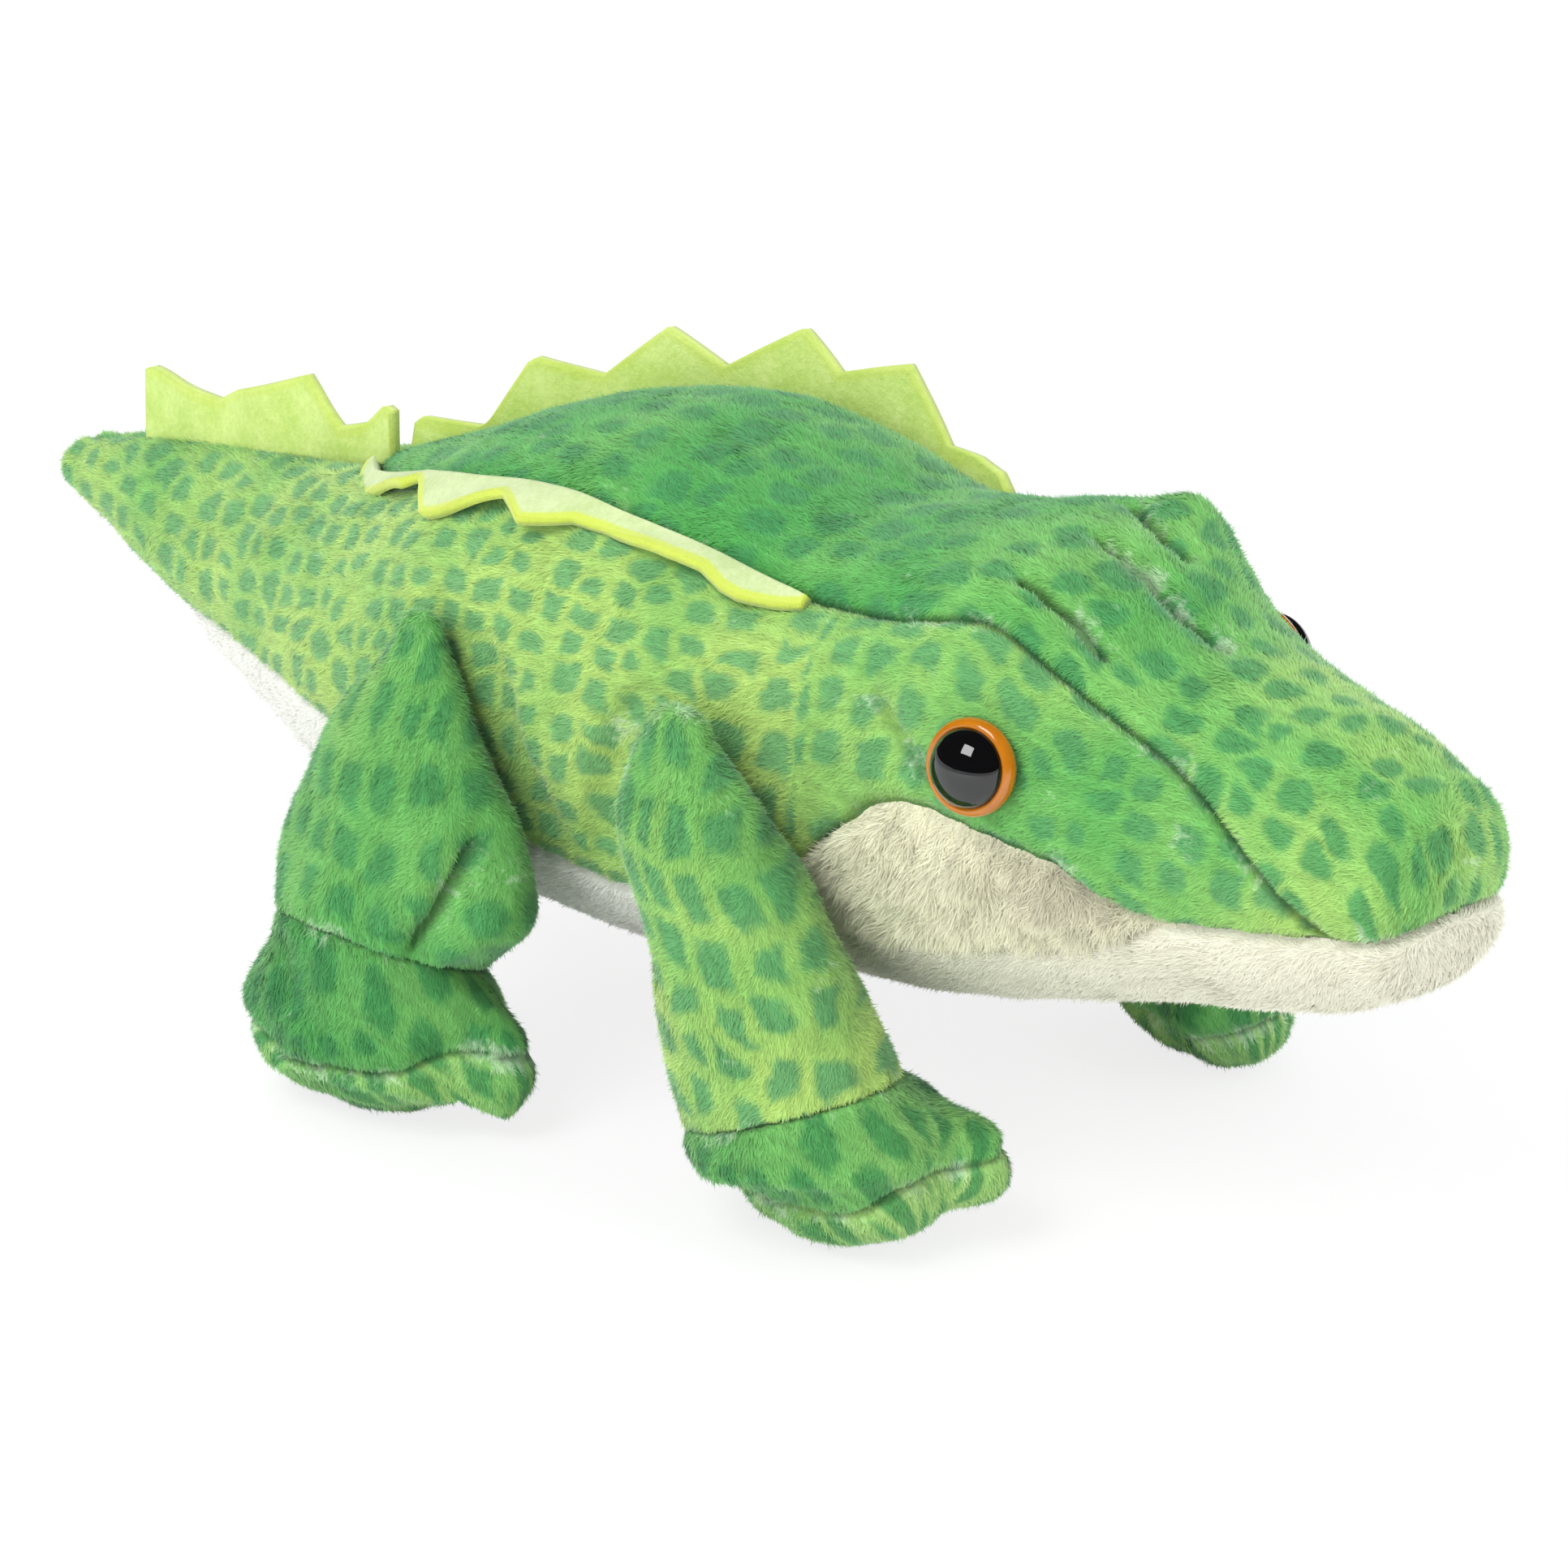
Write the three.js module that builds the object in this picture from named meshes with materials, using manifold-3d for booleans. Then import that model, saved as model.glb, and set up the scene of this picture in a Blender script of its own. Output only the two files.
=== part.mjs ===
// Plush crocodile: a stuffed toy sewn from printed pile cloth, with felt back crests and plastic eyes.
// Millimetres, +Z up. The snout points to -Y, the toy stands on the floor z = 0, its right side is -X.

import * as THREE from 'three';
import { mergeVertices } from 'three/addons/utils/BufferGeometryUtils.js';
import Module from 'manifold-3d';

const wasm = await Module();
wasm.setup();

// Driving dimensions
const bodyLength = 300;
const bodyWidth = 83;
const bodyHeight = 97;
const tailCapLength = 7.5;
const snoutCapLength = 8.5;
const clothThickness = 1.6;
const sewnGap = 0.3;
const feltThickness = 2;
const weldDistance = 0.0001;
// Cloth edges stand this far back from their seam line.
const edgeSetback = 0.2;

// Trunk, head and tail swell and taper through these rings, from the tail tip to the snout:
// place along the length, half width, height of the widest line, top and bottom.
const ringShares = [
  [0.470, 0.188, 0.562, 0.624, 0.508],
  [0.430, 0.272, 0.551, 0.658, 0.470],
  [0.373, 0.381, 0.533, 0.690, 0.406],
  [0.307, 0.518, 0.512, 0.720, 0.328],
  [0.233, 0.699, 0.515, 0.760, 0.247],
  [0.160, 0.855, 0.536, 0.848, 0.196],
  [0.080, 0.964, 0.577, 0.960, 0.170],
  [0.000, 1.000, 0.598, 1.010, 0.170],
  [-0.073, 0.976, 0.608, 1.000, 0.191],
  [-0.140, 0.892, 0.608, 0.965, 0.227],
  [-0.193, 0.843, 0.619, 0.985, 0.263],
  [-0.240, 0.831, 0.629, 1.014, 0.289],
  [-0.287, 0.795, 0.634, 0.992, 0.320],
  [-0.333, 0.711, 0.629, 0.917, 0.356],
  [-0.380, 0.609, 0.618, 0.868, 0.392],
  [-0.427, 0.514, 0.608, 0.838, 0.428],
  [-0.457, 0.405, 0.613, 0.802, 0.472],
];
// Roundness of each ring, 1 for an ellipse and less for a boxier one, then the places of the
// back seam and of the belly and mouth seam, as shares of the half turn from top to bottom.
const seamShares = [
  [1.00, 0.000, 1.000],
  [1.00, 0.000, 0.955],
  [1.00, 0.000, 0.740],
  [1.00, 0.010, 0.600],
  [0.98, 0.028, 0.561],
  [0.95, 0.109, 0.578],
  [0.92, 0.160, 0.622],
  [0.90, 0.189, 0.650],
  [0.90, 0.206, 0.689],
  [0.88, 0.212, 0.689],
  [0.82, 0.240, 0.678],
  [0.78, 0.258, 0.672],
  [0.78, 0.250, 0.667],
  [0.80, 0.238, 0.639],
  [0.84, 0.288, 0.560],
  [0.86, 0.430, 0.511],
  [0.88, 0.505, 0.505],
];

// Brows: soft bulges over the eyes, by place, spread and height.
const brow = { x: 25, y: -82, z: 93, spread: 8, rise: 3.5 };

// Legs. The seat is where a limb hinges on the flank. The limb's inner face starts in an upright
// plane and steps inward past the reach. The flank stays flat inside the two radii, one at the
// hinge and one under it, and then ramps out.
const frontPlaneShare = 0.906;
const rearPlaneShare = 0.949;
const frontSeat = {
  y: -38, z: 60, plane: frontPlaneShare * bodyWidth / 2, topRadius: 14, footRadius: 24, drop: 30,
  ramp: 12, relief: 0.5, reach: 20, foot: 40, step: 2.6,
};
const rearSeat = {
  y: 13, z: 60, plane: rearPlaneShare * bodyWidth / 2, topRadius: 14, footRadius: 32, drop: 30,
  ramp: 12, relief: 0.5, reach: 20, foot: 40, step: 2,
};

const ringSides = 24;
const mix = THREE.MathUtils.lerp;
const smooth = THREE.MathUtils.smoothstep;

function catmull(rows, place, column) {
  const last = rows.length - 1;
  const cell = Math.min(Math.floor(place), last - 1);
  const t = place - cell;
  const before = rows[Math.max(cell - 1, 0)][column];
  const start = rows[cell][column];
  const end = rows[cell + 1][column];
  const after = rows[Math.min(cell + 2, last)][column];
  const slopeStart = (end - before) / 2;
  const slopeEnd = (after - start) / 2;
  const t2 = t * t;
  const t3 = t2 * t;
  return (2 * t3 - 3 * t2 + 1) * start + (t3 - 2 * t2 + t) * slopeStart
    + (3 * t2 - 2 * t3) * end + (t3 - t2) * slopeEnd;
}

const lastRing = ringShares.length - 1;

// One ring of the body. Past either end the rings close like a dome.
function ringAt(place) {
  const held = THREE.MathUtils.clamp(place, 0, lastRing);
  const past = place - held;
  const shrink = Math.max(Math.cos(Math.abs(past) * Math.PI / 2), 0);
  const swell = past > 0 ? Math.pow(shrink, 0.8) : shrink;
  const capLength = past > 0 ? snoutCapLength : tailCapLength;
  const middle = catmull(ringShares, held, 2) * bodyHeight;
  const top = catmull(ringShares, held, 3) * bodyHeight;
  const bottom = catmull(ringShares, held, 4) * bodyHeight;
  return {
    y: catmull(ringShares, held, 0) * bodyLength - capLength * Math.sin(past * Math.PI / 2),
    width: catmull(ringShares, held, 1) * bodyWidth / 2 * swell,
    middle,
    above: (top - middle) * swell,
    below: (middle - bottom) * (past > 0 ? swell ** 1.4 : swell),
    round: catmull(seamShares, held, 0),
    backSeam: catmull(seamShares, held, 1),
    bellySeam: catmull(seamShares, held, 2),
  };
}

// How far the flank may bulge beside a seat, so that the limb lies on it and can swing.
function flankLimit(point, seat) {
  const down = THREE.MathUtils.clamp((seat.z - point.z) / seat.drop, 0, 1);
  const radius = mix(seat.topRadius, seat.footRadius, down);
  const away = Math.hypot(point.y - seat.y, point.z - (seat.z - down * seat.drop));
  return seat.plane - seat.relief + seat.ramp * smooth(away, radius, radius + seat.ramp);
}

// A point of the outer surface. The turn runs from 0 at the top to 1 at the bottom, negative to -X.
function skinPoint(place, turn) {
  const ring = ringAt(place);
  const angle = Math.PI * turn;
  const across = Math.sign(Math.sin(angle)) * Math.abs(Math.sin(angle)) ** ring.round;
  const upward = Math.sign(Math.cos(angle)) * Math.abs(Math.cos(angle)) ** ring.round;
  const rise = upward > 0 ? ring.above : ring.below;
  const point = new THREE.Vector3(ring.width * across, ring.y, ring.middle + rise * upward);
  for (const side of [-1, 1]) {
    const away = point.distanceTo(new THREE.Vector3(side * brow.x, brow.y, brow.z));
    point.z += brow.rise * Math.exp(-((away / brow.spread) ** 2) / 2);
  }
  const limit = Math.min(flankLimit(point, frontSeat), flankLimit(point, rearSeat));
  point.x = THREE.MathUtils.clamp(point.x, -limit, limit);
  return point;
}

function skinNormal(place, turn) {
  const placeStep = 0.02;
  const turnStep = 0.01;
  const along = skinPoint(place + placeStep, turn).sub(skinPoint(place - placeStep, turn));
  const round = skinPoint(place, turn + turnStep).sub(skinPoint(place, turn - turnStep));
  return along.cross(round).normalize();
}

function under(place, turn, depth) {
  return skinPoint(place, turn).addScaledVector(skinNormal(place, turn), -depth);
}

// Closed bodies from lists of corners and triangles, always facing out.
function closedSolid(points, faces) {
  let volume = 0;
  for (const [a, b, c] of faces) {
    volume += points[a].dot(new THREE.Vector3().crossVectors(points[b], points[c]));
  }
  const turned = volume < 0 ? faces.map(([a, b, c]) => [a, c, b]) : faces;
  const vertProperties = new Float32Array(points.flatMap((point) => point.toArray()));
  return new wasm.Manifold(new wasm.Mesh({
    numProp: 3, vertProperties, triVerts: new Uint32Array(turned.flat()),
  }));
}

// Rings of equal count joined in order, each end closed to its own middle point.
function loftSolid(rings, firstPole, lastPole) {
  const count = rings[0].length;
  const points = rings.flat();
  const faces = [];
  for (let row = 0; row < rings.length - 1; row += 1) {
    for (let k = 0; k < count; k += 1) {
      const a = row * count + k;
      const b = row * count + (k + 1) % count;
      faces.push([a, b, b + count], [a, b + count, a + count]);
    }
  }
  points.push(firstPole, lastPole);
  const base = (rings.length - 1) * count;
  for (let k = 0; k < count; k += 1) {
    faces.push([points.length - 2, (k + 1) % count, k]);
    faces.push([points.length - 1, base + k, base + (k + 1) % count]);
  }
  return closedSolid(points, faces);
}

// A sheet with thickness: two grids of points joined round their border.
function sheetSolid(outer, inner) {
  const rows = outer.length;
  const columns = outer[0].length;
  const points = [...outer.flat(), ...inner.flat()];
  const back = rows * columns;
  const faces = [];
  const quad = (a, b, c, d) => faces.push([a, b, c], [a, c, d]);
  for (let i = 0; i < rows - 1; i += 1) {
    for (let j = 0; j < columns - 1; j += 1) {
      const a = i * columns + j;
      quad(a, a + 1, a + columns + 1, a + columns);
      quad(back + a, back + a + columns, back + a + columns + 1, back + a + 1);
    }
    const left = i * columns;
    const right = left + columns - 1;
    quad(left, left + columns, back + left + columns, back + left);
    quad(right + columns, right, back + right, back + right + columns);
  }
  for (let j = 0; j < columns - 1; j += 1) {
    const last = (rows - 1) * columns + j;
    quad(j + 1, j, back + j, back + j + 1);
    quad(last, last + 1, back + last + 1, back + last);
  }
  return closedSolid(points, faces);
}

function solidOf(geometry) {
  const bare = new THREE.BufferGeometry();
  bare.setAttribute('position', geometry.getAttribute('position').clone());
  if (geometry.index) bare.setIndex(geometry.index.clone());
  const merged = mergeVertices(bare, weldDistance);
  const place = merged.getAttribute('position');
  const points = [];
  for (let k = 0; k < place.count; k += 1) {
    points.push(new THREE.Vector3().fromBufferAttribute(place, k));
  }
  const faces = [];
  for (let k = 0; k < merged.index.count; k += 3) {
    const face = [0, 1, 2].map((corner) => merged.index.getX(k + corner));
    if (new Set(face).size === 3) faces.push(face);
  }
  return closedSolid(points, faces);
}

function geometryOf(solid) {
  const mesh = solid.getMesh();
  const geometry = new THREE.BufferGeometry();
  geometry.setAttribute('position', new THREE.BufferAttribute(new Float32Array(mesh.vertProperties), 3));
  geometry.setIndex(new THREE.BufferAttribute(new Uint32Array(mesh.triVerts), 1));
  return geometry;
}

function boxSolid(width, depth, height, x, y, z) {
  return solidOf(new THREE.BoxGeometry(width, depth, height).translate(x, y, z));
}

// Rings are closest where the shape turns fastest, at the two ends.
const tailCapShares = [-0.985, -0.85, -0.6, -0.3];
const snoutCapShares = [0.25, 0.5, 0.7, 0.86, 0.95, 0.985];
const rowPlaces = [...tailCapShares];
const rowShare = 0.5;
for (let place = 0; place <= lastRing; place += rowShare) rowPlaces.push(place);
rowPlaces.push(...snoutCapShares.map((past) => lastRing + past));

function placeAt(y) {
  let low = -1;
  let high = lastRing + 1;
  for (let step = 0; step < 40; step += 1) {
    const middle = (low + high) / 2;
    if (ringAt(middle).y > y) low = middle;
    else high = middle;
  }
  return low;
}

// The whole body as one closed form, a given depth under the outer surface.
function bodySolid(depth, sides = ringSides) {
  const rings = rowPlaces.map((place) => {
    const ring = [];
    for (let k = 0; k < sides; k += 1) ring.push(under(place, 2 * k / sides - 1, depth));
    return ring;
  });
  const tip = (place, sign) => {
    const ring = ringAt(place);
    return new THREE.Vector3(0, ring.y - sign * depth, ring.middle);
  };
  return loftSolid(rings, tip(-1, 1), tip(lastRing + 1, -1));
}

// A cut piece of cloth on the body between two seams, seen as shares of the half turn.
function clothPiece(places, turnsAt, columns) {
  const outer = [];
  const inner = [];
  for (const place of places) {
    const ring = ringAt(place);
    const halfGirth = Math.PI / 2 * (ring.width + (ring.above + ring.below) / 2);
    const inset = edgeSetback / halfGirth;
    const [from, to] = turnsAt(place, ring);
    const turns = [];
    for (let k = 0; k <= columns; k += 1) turns.push(mix(from + inset, to - inset, k / columns));
    outer.push(turns.map((turn) => skinPoint(place, turn)));
    inner.push(turns.map((turn) => under(place, turn, clothThickness)));
  }
  return sheetSolid(outer, inner);
}

// The space in front of and behind an upright plane across the body
function slab(y, side) {
  return boxSolid(2 * bodyWidth, bodyLength, 2 * bodyHeight, 0, y + side * bodyLength / 2, bodyHeight / 2);
}
const ahead = (y) => slab(y, -1);
const behind = (y) => slab(y, 1);

// Tail joint: the tail turns about an upright line, and ends in a drum that the trunk wraps round.
const tailJointShares = ringShares[3];
const tailJointY = tailJointShares[0] * bodyLength;
const tailJointRadius = tailJointShares[1] * bodyWidth / 2;
const tailJointSides = 32;

function tailZone(grow) {
  const drum = new THREE.CylinderGeometry(
    tailJointRadius + grow, tailJointRadius + grow, 2 * bodyHeight, tailJointSides,
  ).rotateX(Math.PI / 2).translate(0, tailJointY, bodyHeight / 2);
  return solidOf(drum).add(behind(tailJointY));
}
const tailKeep = tailZone(-sewnGap / 2);
const tailCut = tailZone(sewnGap / 2);

// Places along the body, as shares of its length
const neckShare = -0.173;
const throatShare = -0.160;
const topPanelShare = 0.225;
const cheekShares = [-0.178, -0.397];
const sideEndShare = -0.442;
const neckY = neckShare * bodyLength;
const throatY = throatShare * bodyLength;

const stuffingGap = 0.95;
const stuffing = bodySolid(clothThickness + stuffingGap);
const envelope = bodySolid(-sewnGap, 2 * ringSides);

// The cheek patch is a long lens between the mouth line and the jaw seam.
const cheekFrom = placeAt(cheekShares[0] * bodyLength);
const cheekTo = placeAt(cheekShares[1] * bodyLength);
const cheekRiseShare = 0.185;
const cheekBluntShare = 0.6;
const cheekTaperShare = 0.35;
function cheekTop(place, ring) {
  const along = (place - cheekFrom) / (cheekTo - cheekFrom);
  if (along <= 0 || along >= 1) return ring.bellySeam;
  const full = Math.sqrt(Math.sin(Math.PI * along ** cheekBluntShare));
  return ring.bellySeam - cheekRiseShare * full * smooth(1 - along, 0, cheekTaperShare);
}

function between(from, to, steps) {
  return Array.from({ length: steps + 1 }, (_, k) => mix(from, to, k / steps));
}
// The rows from one place to another, without any that would crowd the two ends
const leastRowShare = 0.1;
function rowsWithin(from, to) {
  const inside = rowPlaces.filter((place) => place > from + leastRowShare && place < to - leastRowShare);
  return [from, ...inside, to];
}
const tipPlace = rowPlaces[0];
const snoutPlace = rowPlaces[rowPlaces.length - 1];
const sideEnd = placeAt(sideEndShare * bodyLength);
const topStart = placeAt(topPanelShare * bodyLength);
const cheekRowShares = [0.015, 0.045, 0.1, 0.18, 0.3, 0.44, 0.58, 0.72, 0.86];
const cheekRows = cheekRowShares.map((along) => mix(cheekFrom, cheekTo, along));
const sideRows = [...rowsWithin(tipPlace, cheekFrom), ...cheekRows, ...rowsWithin(cheekTo, sideEnd)];

const sideColumns = 6;
const cheekColumns = 3;
const topColumns = 6;
const bellyColumns = 6;
const mirrored = (side, turns) => (side > 0 ? turns : [-turns[1], -turns[0]]);
const flankPiece = (side) => clothPiece(
  sideRows, (place, ring) => mirrored(side, [ring.backSeam, cheekTop(place, ring)]), sideColumns,
);
const cheekPiece = (side) => clothPiece(
  cheekRows, (place, ring) => mirrored(side, [cheekTop(place, ring), ring.bellySeam]), cheekColumns,
);
const topPiece = clothPiece(
  rowsWithin(topStart, snoutPlace), (place, ring) => [-ring.backSeam, ring.backSeam], topColumns,
);
const bellyPiece = clothPiece(
  rowsWithin(1, snoutPlace), (place, ring) => [ring.bellySeam, 2 - ring.bellySeam], bellyColumns,
);

// Felt crests: strips with saw teeth sewn into a seam, by place along the strip and height.
const crestHeight = 11.8;
const crestSink = 3;
const tailCrestShares = [
  [0.00, 0.75], [0.03, 0.80], [0.28, 0.46], [0.40, 0.72], [0.66, 1.00], [0.80, 0.42], [0.90, 0.46],
  [0.97, 0.62], [1.00, 0.50],
];
const backCrestShares = [
  [0.00, 0.25], [0.02, 0.46], [0.10, 0.34], [0.15, 0.80], [0.17, 0.90], [0.27, 0.52], [0.38, 0.96],
  [0.47, 0.56], [0.59, 0.96], [0.65, 0.52], [0.78, 0.90], [0.85, 0.26], [0.97, 0.22], [1.00, 0.08],
];
const tailCrestSpan = [0.430, 0.222];
const leftCrestSpan = [0.222, -0.138];
const rightCrestSpan = [0.222, -0.160];
const uprightLeans = [0.16, 0.16];
const floppedLeans = [-1.85, -1.3];

function crestSolid(profile, span, seamTurn, leans) {
  const outer = [];
  const inner = [];
  profile.forEach(([along, height]) => {
    const y = mix(span[0], span[1], along) * bodyLength;
    const place = placeAt(y);
    const turn = seamTurn(ringAt(place));
    const foot = skinPoint(place, turn);
    const lean = mix(leans[0], leans[1], along);
    const up = new THREE.Vector3(Math.sin(lean), 0, Math.cos(lean));
    const flat = new THREE.Vector3(Math.cos(lean), 0, -Math.sin(lean)).multiplyScalar(feltThickness / 2);
    const base = foot.clone().addScaledVector(up, -crestSink);
    const tip = foot.clone().addScaledVector(up, height * crestHeight);
    outer.push([base.clone().add(flat), tip.clone().add(flat)]);
    inner.push([base.clone().sub(flat), tip.clone().sub(flat)]);
  });
  return sheetSolid(outer, inner).subtract(envelope);
}
const tailCrest = crestSolid(tailCrestShares, tailCrestSpan, () => 0, [0, 0]);
const leftCrest = crestSolid(backCrestShares, leftCrestSpan, (ring) => ring.backSeam, uprightLeans);
const rightCrest = crestSolid(backCrestShares, rightCrestSpan, (ring) => -ring.backSeam, floppedLeans);

// Eyes: an amber rim, a black dome with its shank, and a lock washer behind the cloth.
const eye = { y: -86, turnShare: 0.415, rimRadius: 6.8, rimHeight: 1.5, domeRadius: 5.3, domeHeight: 3.2 };
const shank = { radius: 2, length: 8.5, washerRadius: 6, washerHeight: 1.2, washerDepth: 3.3 };
const eyeSides = 16;
const revolve = (profile, sides = eyeSides) => new THREE.LatheGeometry(
  profile.map(([radius, height]) => new THREE.Vector2(radius, height)), sides,
).rotateX(Math.PI / 2);

function eyeFrame(side) {
  const place = placeAt(eye.y);
  const turn = side * eye.turnShare;
  const normal = skinNormal(place, turn);
  const turned = new THREE.Quaternion().setFromUnitVectors(new THREE.Vector3(0, 0, 1), normal);
  return { spot: skinPoint(place, turn).addScaledVector(normal, sewnGap), turned };
}
const domeCurve = between(0, Math.PI / 2, 5).map((angle) => [
  eye.domeRadius * Math.cos(angle), eye.rimHeight + sewnGap + eye.domeHeight * Math.sin(angle),
]);
const domeProfile = [
  [0, -shank.length], [shank.radius, -shank.length], [shank.radius, eye.rimHeight + sewnGap], ...domeCurve,
];
domeProfile[domeProfile.length - 1][0] = 0;
const bore = shank.radius + sewnGap;
const rimRound = eye.rimHeight / 3;
const rimProfile = [
  [bore, 0], [eye.rimRadius - rimRound, 0], [eye.rimRadius, rimRound],
  [eye.rimRadius, eye.rimHeight - rimRound], [eye.rimRadius - rimRound, eye.rimHeight],
  [bore, eye.rimHeight], [bore, 0],
];
const washerFoot = -shank.washerDepth - shank.washerHeight;
const washerProfile = [
  [bore, washerFoot], [shank.washerRadius, washerFoot], [shank.washerRadius, -shank.washerDepth],
  [bore, -shank.washerDepth], [bore, washerFoot],
];
// Hollow that the shank and the washer fill in the cloth and in the stuffing
const pocketRadius = shank.washerRadius + sewnGap;
const pocketTop = -clothThickness - 2 * sewnGap;
const pocketProfile = [
  [0, -shank.length - sewnGap], [bore, -shank.length - sewnGap], [bore, washerFoot - sewnGap],
  [pocketRadius, washerFoot - sewnGap], [pocketRadius, pocketTop], [bore, pocketTop],
  [bore, sewnGap], [0, sewnGap],
];
function eyePocket(side) {
  const { spot, turned } = eyeFrame(side);
  const matrix = new THREE.Matrix4().compose(spot, turned, new THREE.Vector3(1, 1, 1));
  return solidOf(revolve(pocketProfile).applyMatrix4(matrix));
}
const eyePockets = eyePocket(-1).add(eyePocket(1));

// Limbs. Each path is given in shares of the seat's height: outward from the seat's plane, from the
// hinge along the body, up, and the half widths across and along the limb.
const frontRightShares = [
  [0.098, 0.017, 1.117, 0.075, 0.083], [0.106, -0.050, 1.050, 0.117, 0.158],
  [0.115, -0.133, 0.958, 0.142, 0.200], [0.123, -0.250, 0.833, 0.183, 0.233],
  [0.123, -0.357, 0.643, 0.217, 0.267], [0.123, -0.417, 0.383, 0.233, 0.283],
  [0.123, -0.450, 0.200, 0.217, 0.250],
];
const frontLeftShares = [
  [0.098, 0.017, 1.117, 0.075, 0.083], [0.106, -0.033, 1.050, 0.117, 0.158],
  [0.115, -0.083, 0.958, 0.142, 0.200], [0.131, -0.133, 0.820, 0.183, 0.233],
  [0.128, -0.200, 0.643, 0.217, 0.267], [0.113, -0.250, 0.383, 0.233, 0.283],
  [0.098, -0.280, 0.200, 0.217, 0.250],
];
const rearShares = [
  [0.060, -0.008, 1.142, 0.075, 0.092], [0.076, 0.017, 1.050, 0.133, 0.167],
  [0.110, 0.023, 0.933, 0.167, 0.233], [0.176, -0.042, 0.733, 0.208, 0.355],
  [0.218, -0.080, 0.550, 0.242, 0.408], [0.260, -0.033, 0.383, 0.225, 0.283],
  [0.276, -0.033, 0.200, 0.217, 0.250],
];
const frontPaw = { halfWidth: 16, halfLength: 25, halfHeight: 12 };
const rearPaw = { halfWidth: 15.5, halfLength: 25, halfHeight: 12 };
const floorCut = 0.5;
// Paw centres, outward from the seat's plane and behind the hinge, with the toes raised by the
// pitch and turned out by the yaw, in degrees
const rightFoot = { out: 3.9, back: -31, pitch: 9, yaw: 0 };
const leftFoot = { out: 2.9, back: -21.5, pitch: 2, yaw: 22 };
const rearFoot = { out: 16.6, back: -3, pitch: 0, yaw: 0 };
const limbs = [
  { name: 'front_right', side: -1, seat: frontSeat, path: frontRightShares, paw: frontPaw, at: rightFoot },
  { name: 'front_left', side: 1, seat: frontSeat, path: frontLeftShares, paw: frontPaw, at: leftFoot },
  { name: 'rear_right', side: -1, seat: rearSeat, path: rearShares, paw: rearPaw, at: rearFoot },
  { name: 'rear_left', side: 1, seat: rearSeat, path: rearShares, paw: rearPaw, at: rearFoot },
];
const limbSides = 10;
const limbRings = 6;
const limbTopRise = 4;

// A limb as a closed form along its path, thinner by the given depth.
function limbSolid(limb, depth) {
  const unit = limb.seat.z;
  const seatPlace = new THREE.Vector3(limb.side * limb.seat.plane, limb.seat.y, 0);
  const spot = ([out, back, up]) =>
    new THREE.Vector3(limb.side * out, back, up).multiplyScalar(unit).add(seatPlace);
  const rows = between(0, limb.path.length - 1, limbRings).map(
    (place) => limb.path[0].map((_, column) => catmull(limb.path, place, column)),
  );
  const rings = rows.map((row, k) => {
    const before = spot(rows[Math.max(k - 1, 0)]);
    const after = spot(rows[Math.min(k + 1, rows.length - 1)]);
    const down = after.sub(before).normalize();
    const across = new THREE.Vector3(1, 0, 0).addScaledVector(down, -down.x).normalize();
    const along = new THREE.Vector3().crossVectors(down, across);
    const ring = [];
    for (let side = 0; side < limbSides; side += 1) {
      const angle = 2 * Math.PI * side / limbSides;
      ring.push(spot(row)
        .addScaledVector(across, (row[3] * unit - depth) * Math.cos(angle))
        .addScaledVector(along, (row[4] * unit - depth) * Math.sin(angle)));
    }
    return ring;
  });
  const top = spot(rows[0]).add(new THREE.Vector3(0, 0, limbTopRise - depth));
  return loftSolid(rings, top, spot(rows[rows.length - 1]));
}

// The space beside the body that a limb may fill, turned about its hinge line.
const spaceSides = 48;
function limbSpace(limb, offset) {
  const { y, z, plane, reach, foot, step } = limb.seat;
  const near = plane + offset;
  const profile = [
    [0, near], [reach, near], [foot, near - step], [bodyLength, near - step],
    [bodyLength, bodyWidth], [0, bodyWidth],
  ].map(([radius, height]) => new THREE.Vector2(radius, height));
  const geometry = new THREE.LatheGeometry(profile, spaceSides).rotateZ(-limb.side * Math.PI / 2);
  return solidOf(geometry.translate(0, y, z));
}

// A paw is an egg shape: fuller at the toes, flatter and narrower below, and lifted at the heel.
const pawRoundness = 2.1;
const soleRoundness = 1.5;
const toeFullShare = 0.1;
const soleTuckShare = 0.3;
const heelLiftShare = 0.3;
const pawRows = 7;
const pawSides = 10;
function pawForm(paw, depth) {
  const rings = between(-1, 1, pawRows + 1).slice(1, -1).map((raw) => {
    const along = Math.sin(raw * Math.PI / 2);
    const full = (1 - Math.abs(along) ** pawRoundness) ** (1 / pawRoundness);
    const halfWidth = paw.halfWidth * (1 + toeFullShare * along) - depth;
    const ring = [];
    for (let k = 0; k < pawSides; k += 1) {
      const angle = 2 * Math.PI * k / pawSides;
      const low = Math.max(-Math.sin(angle), 0);
      const across = halfWidth * full * Math.cos(angle) * (1 - soleTuckShare * low);
      const halfHeight = paw.halfHeight * (1 - heelLiftShare * low * Math.max(-along, 0)) - depth;
      const upward = halfHeight * (low > 0 ? full ** soleRoundness : full) * Math.sin(angle);
      ring.push(new THREE.Vector3(across, -along * (paw.halfLength - depth), upward));
    }
    return ring;
  });
  const reach = paw.halfLength - depth;
  return [rings, new THREE.Vector3(0, reach, 0), new THREE.Vector3(0, -reach, 0)];
}

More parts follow.
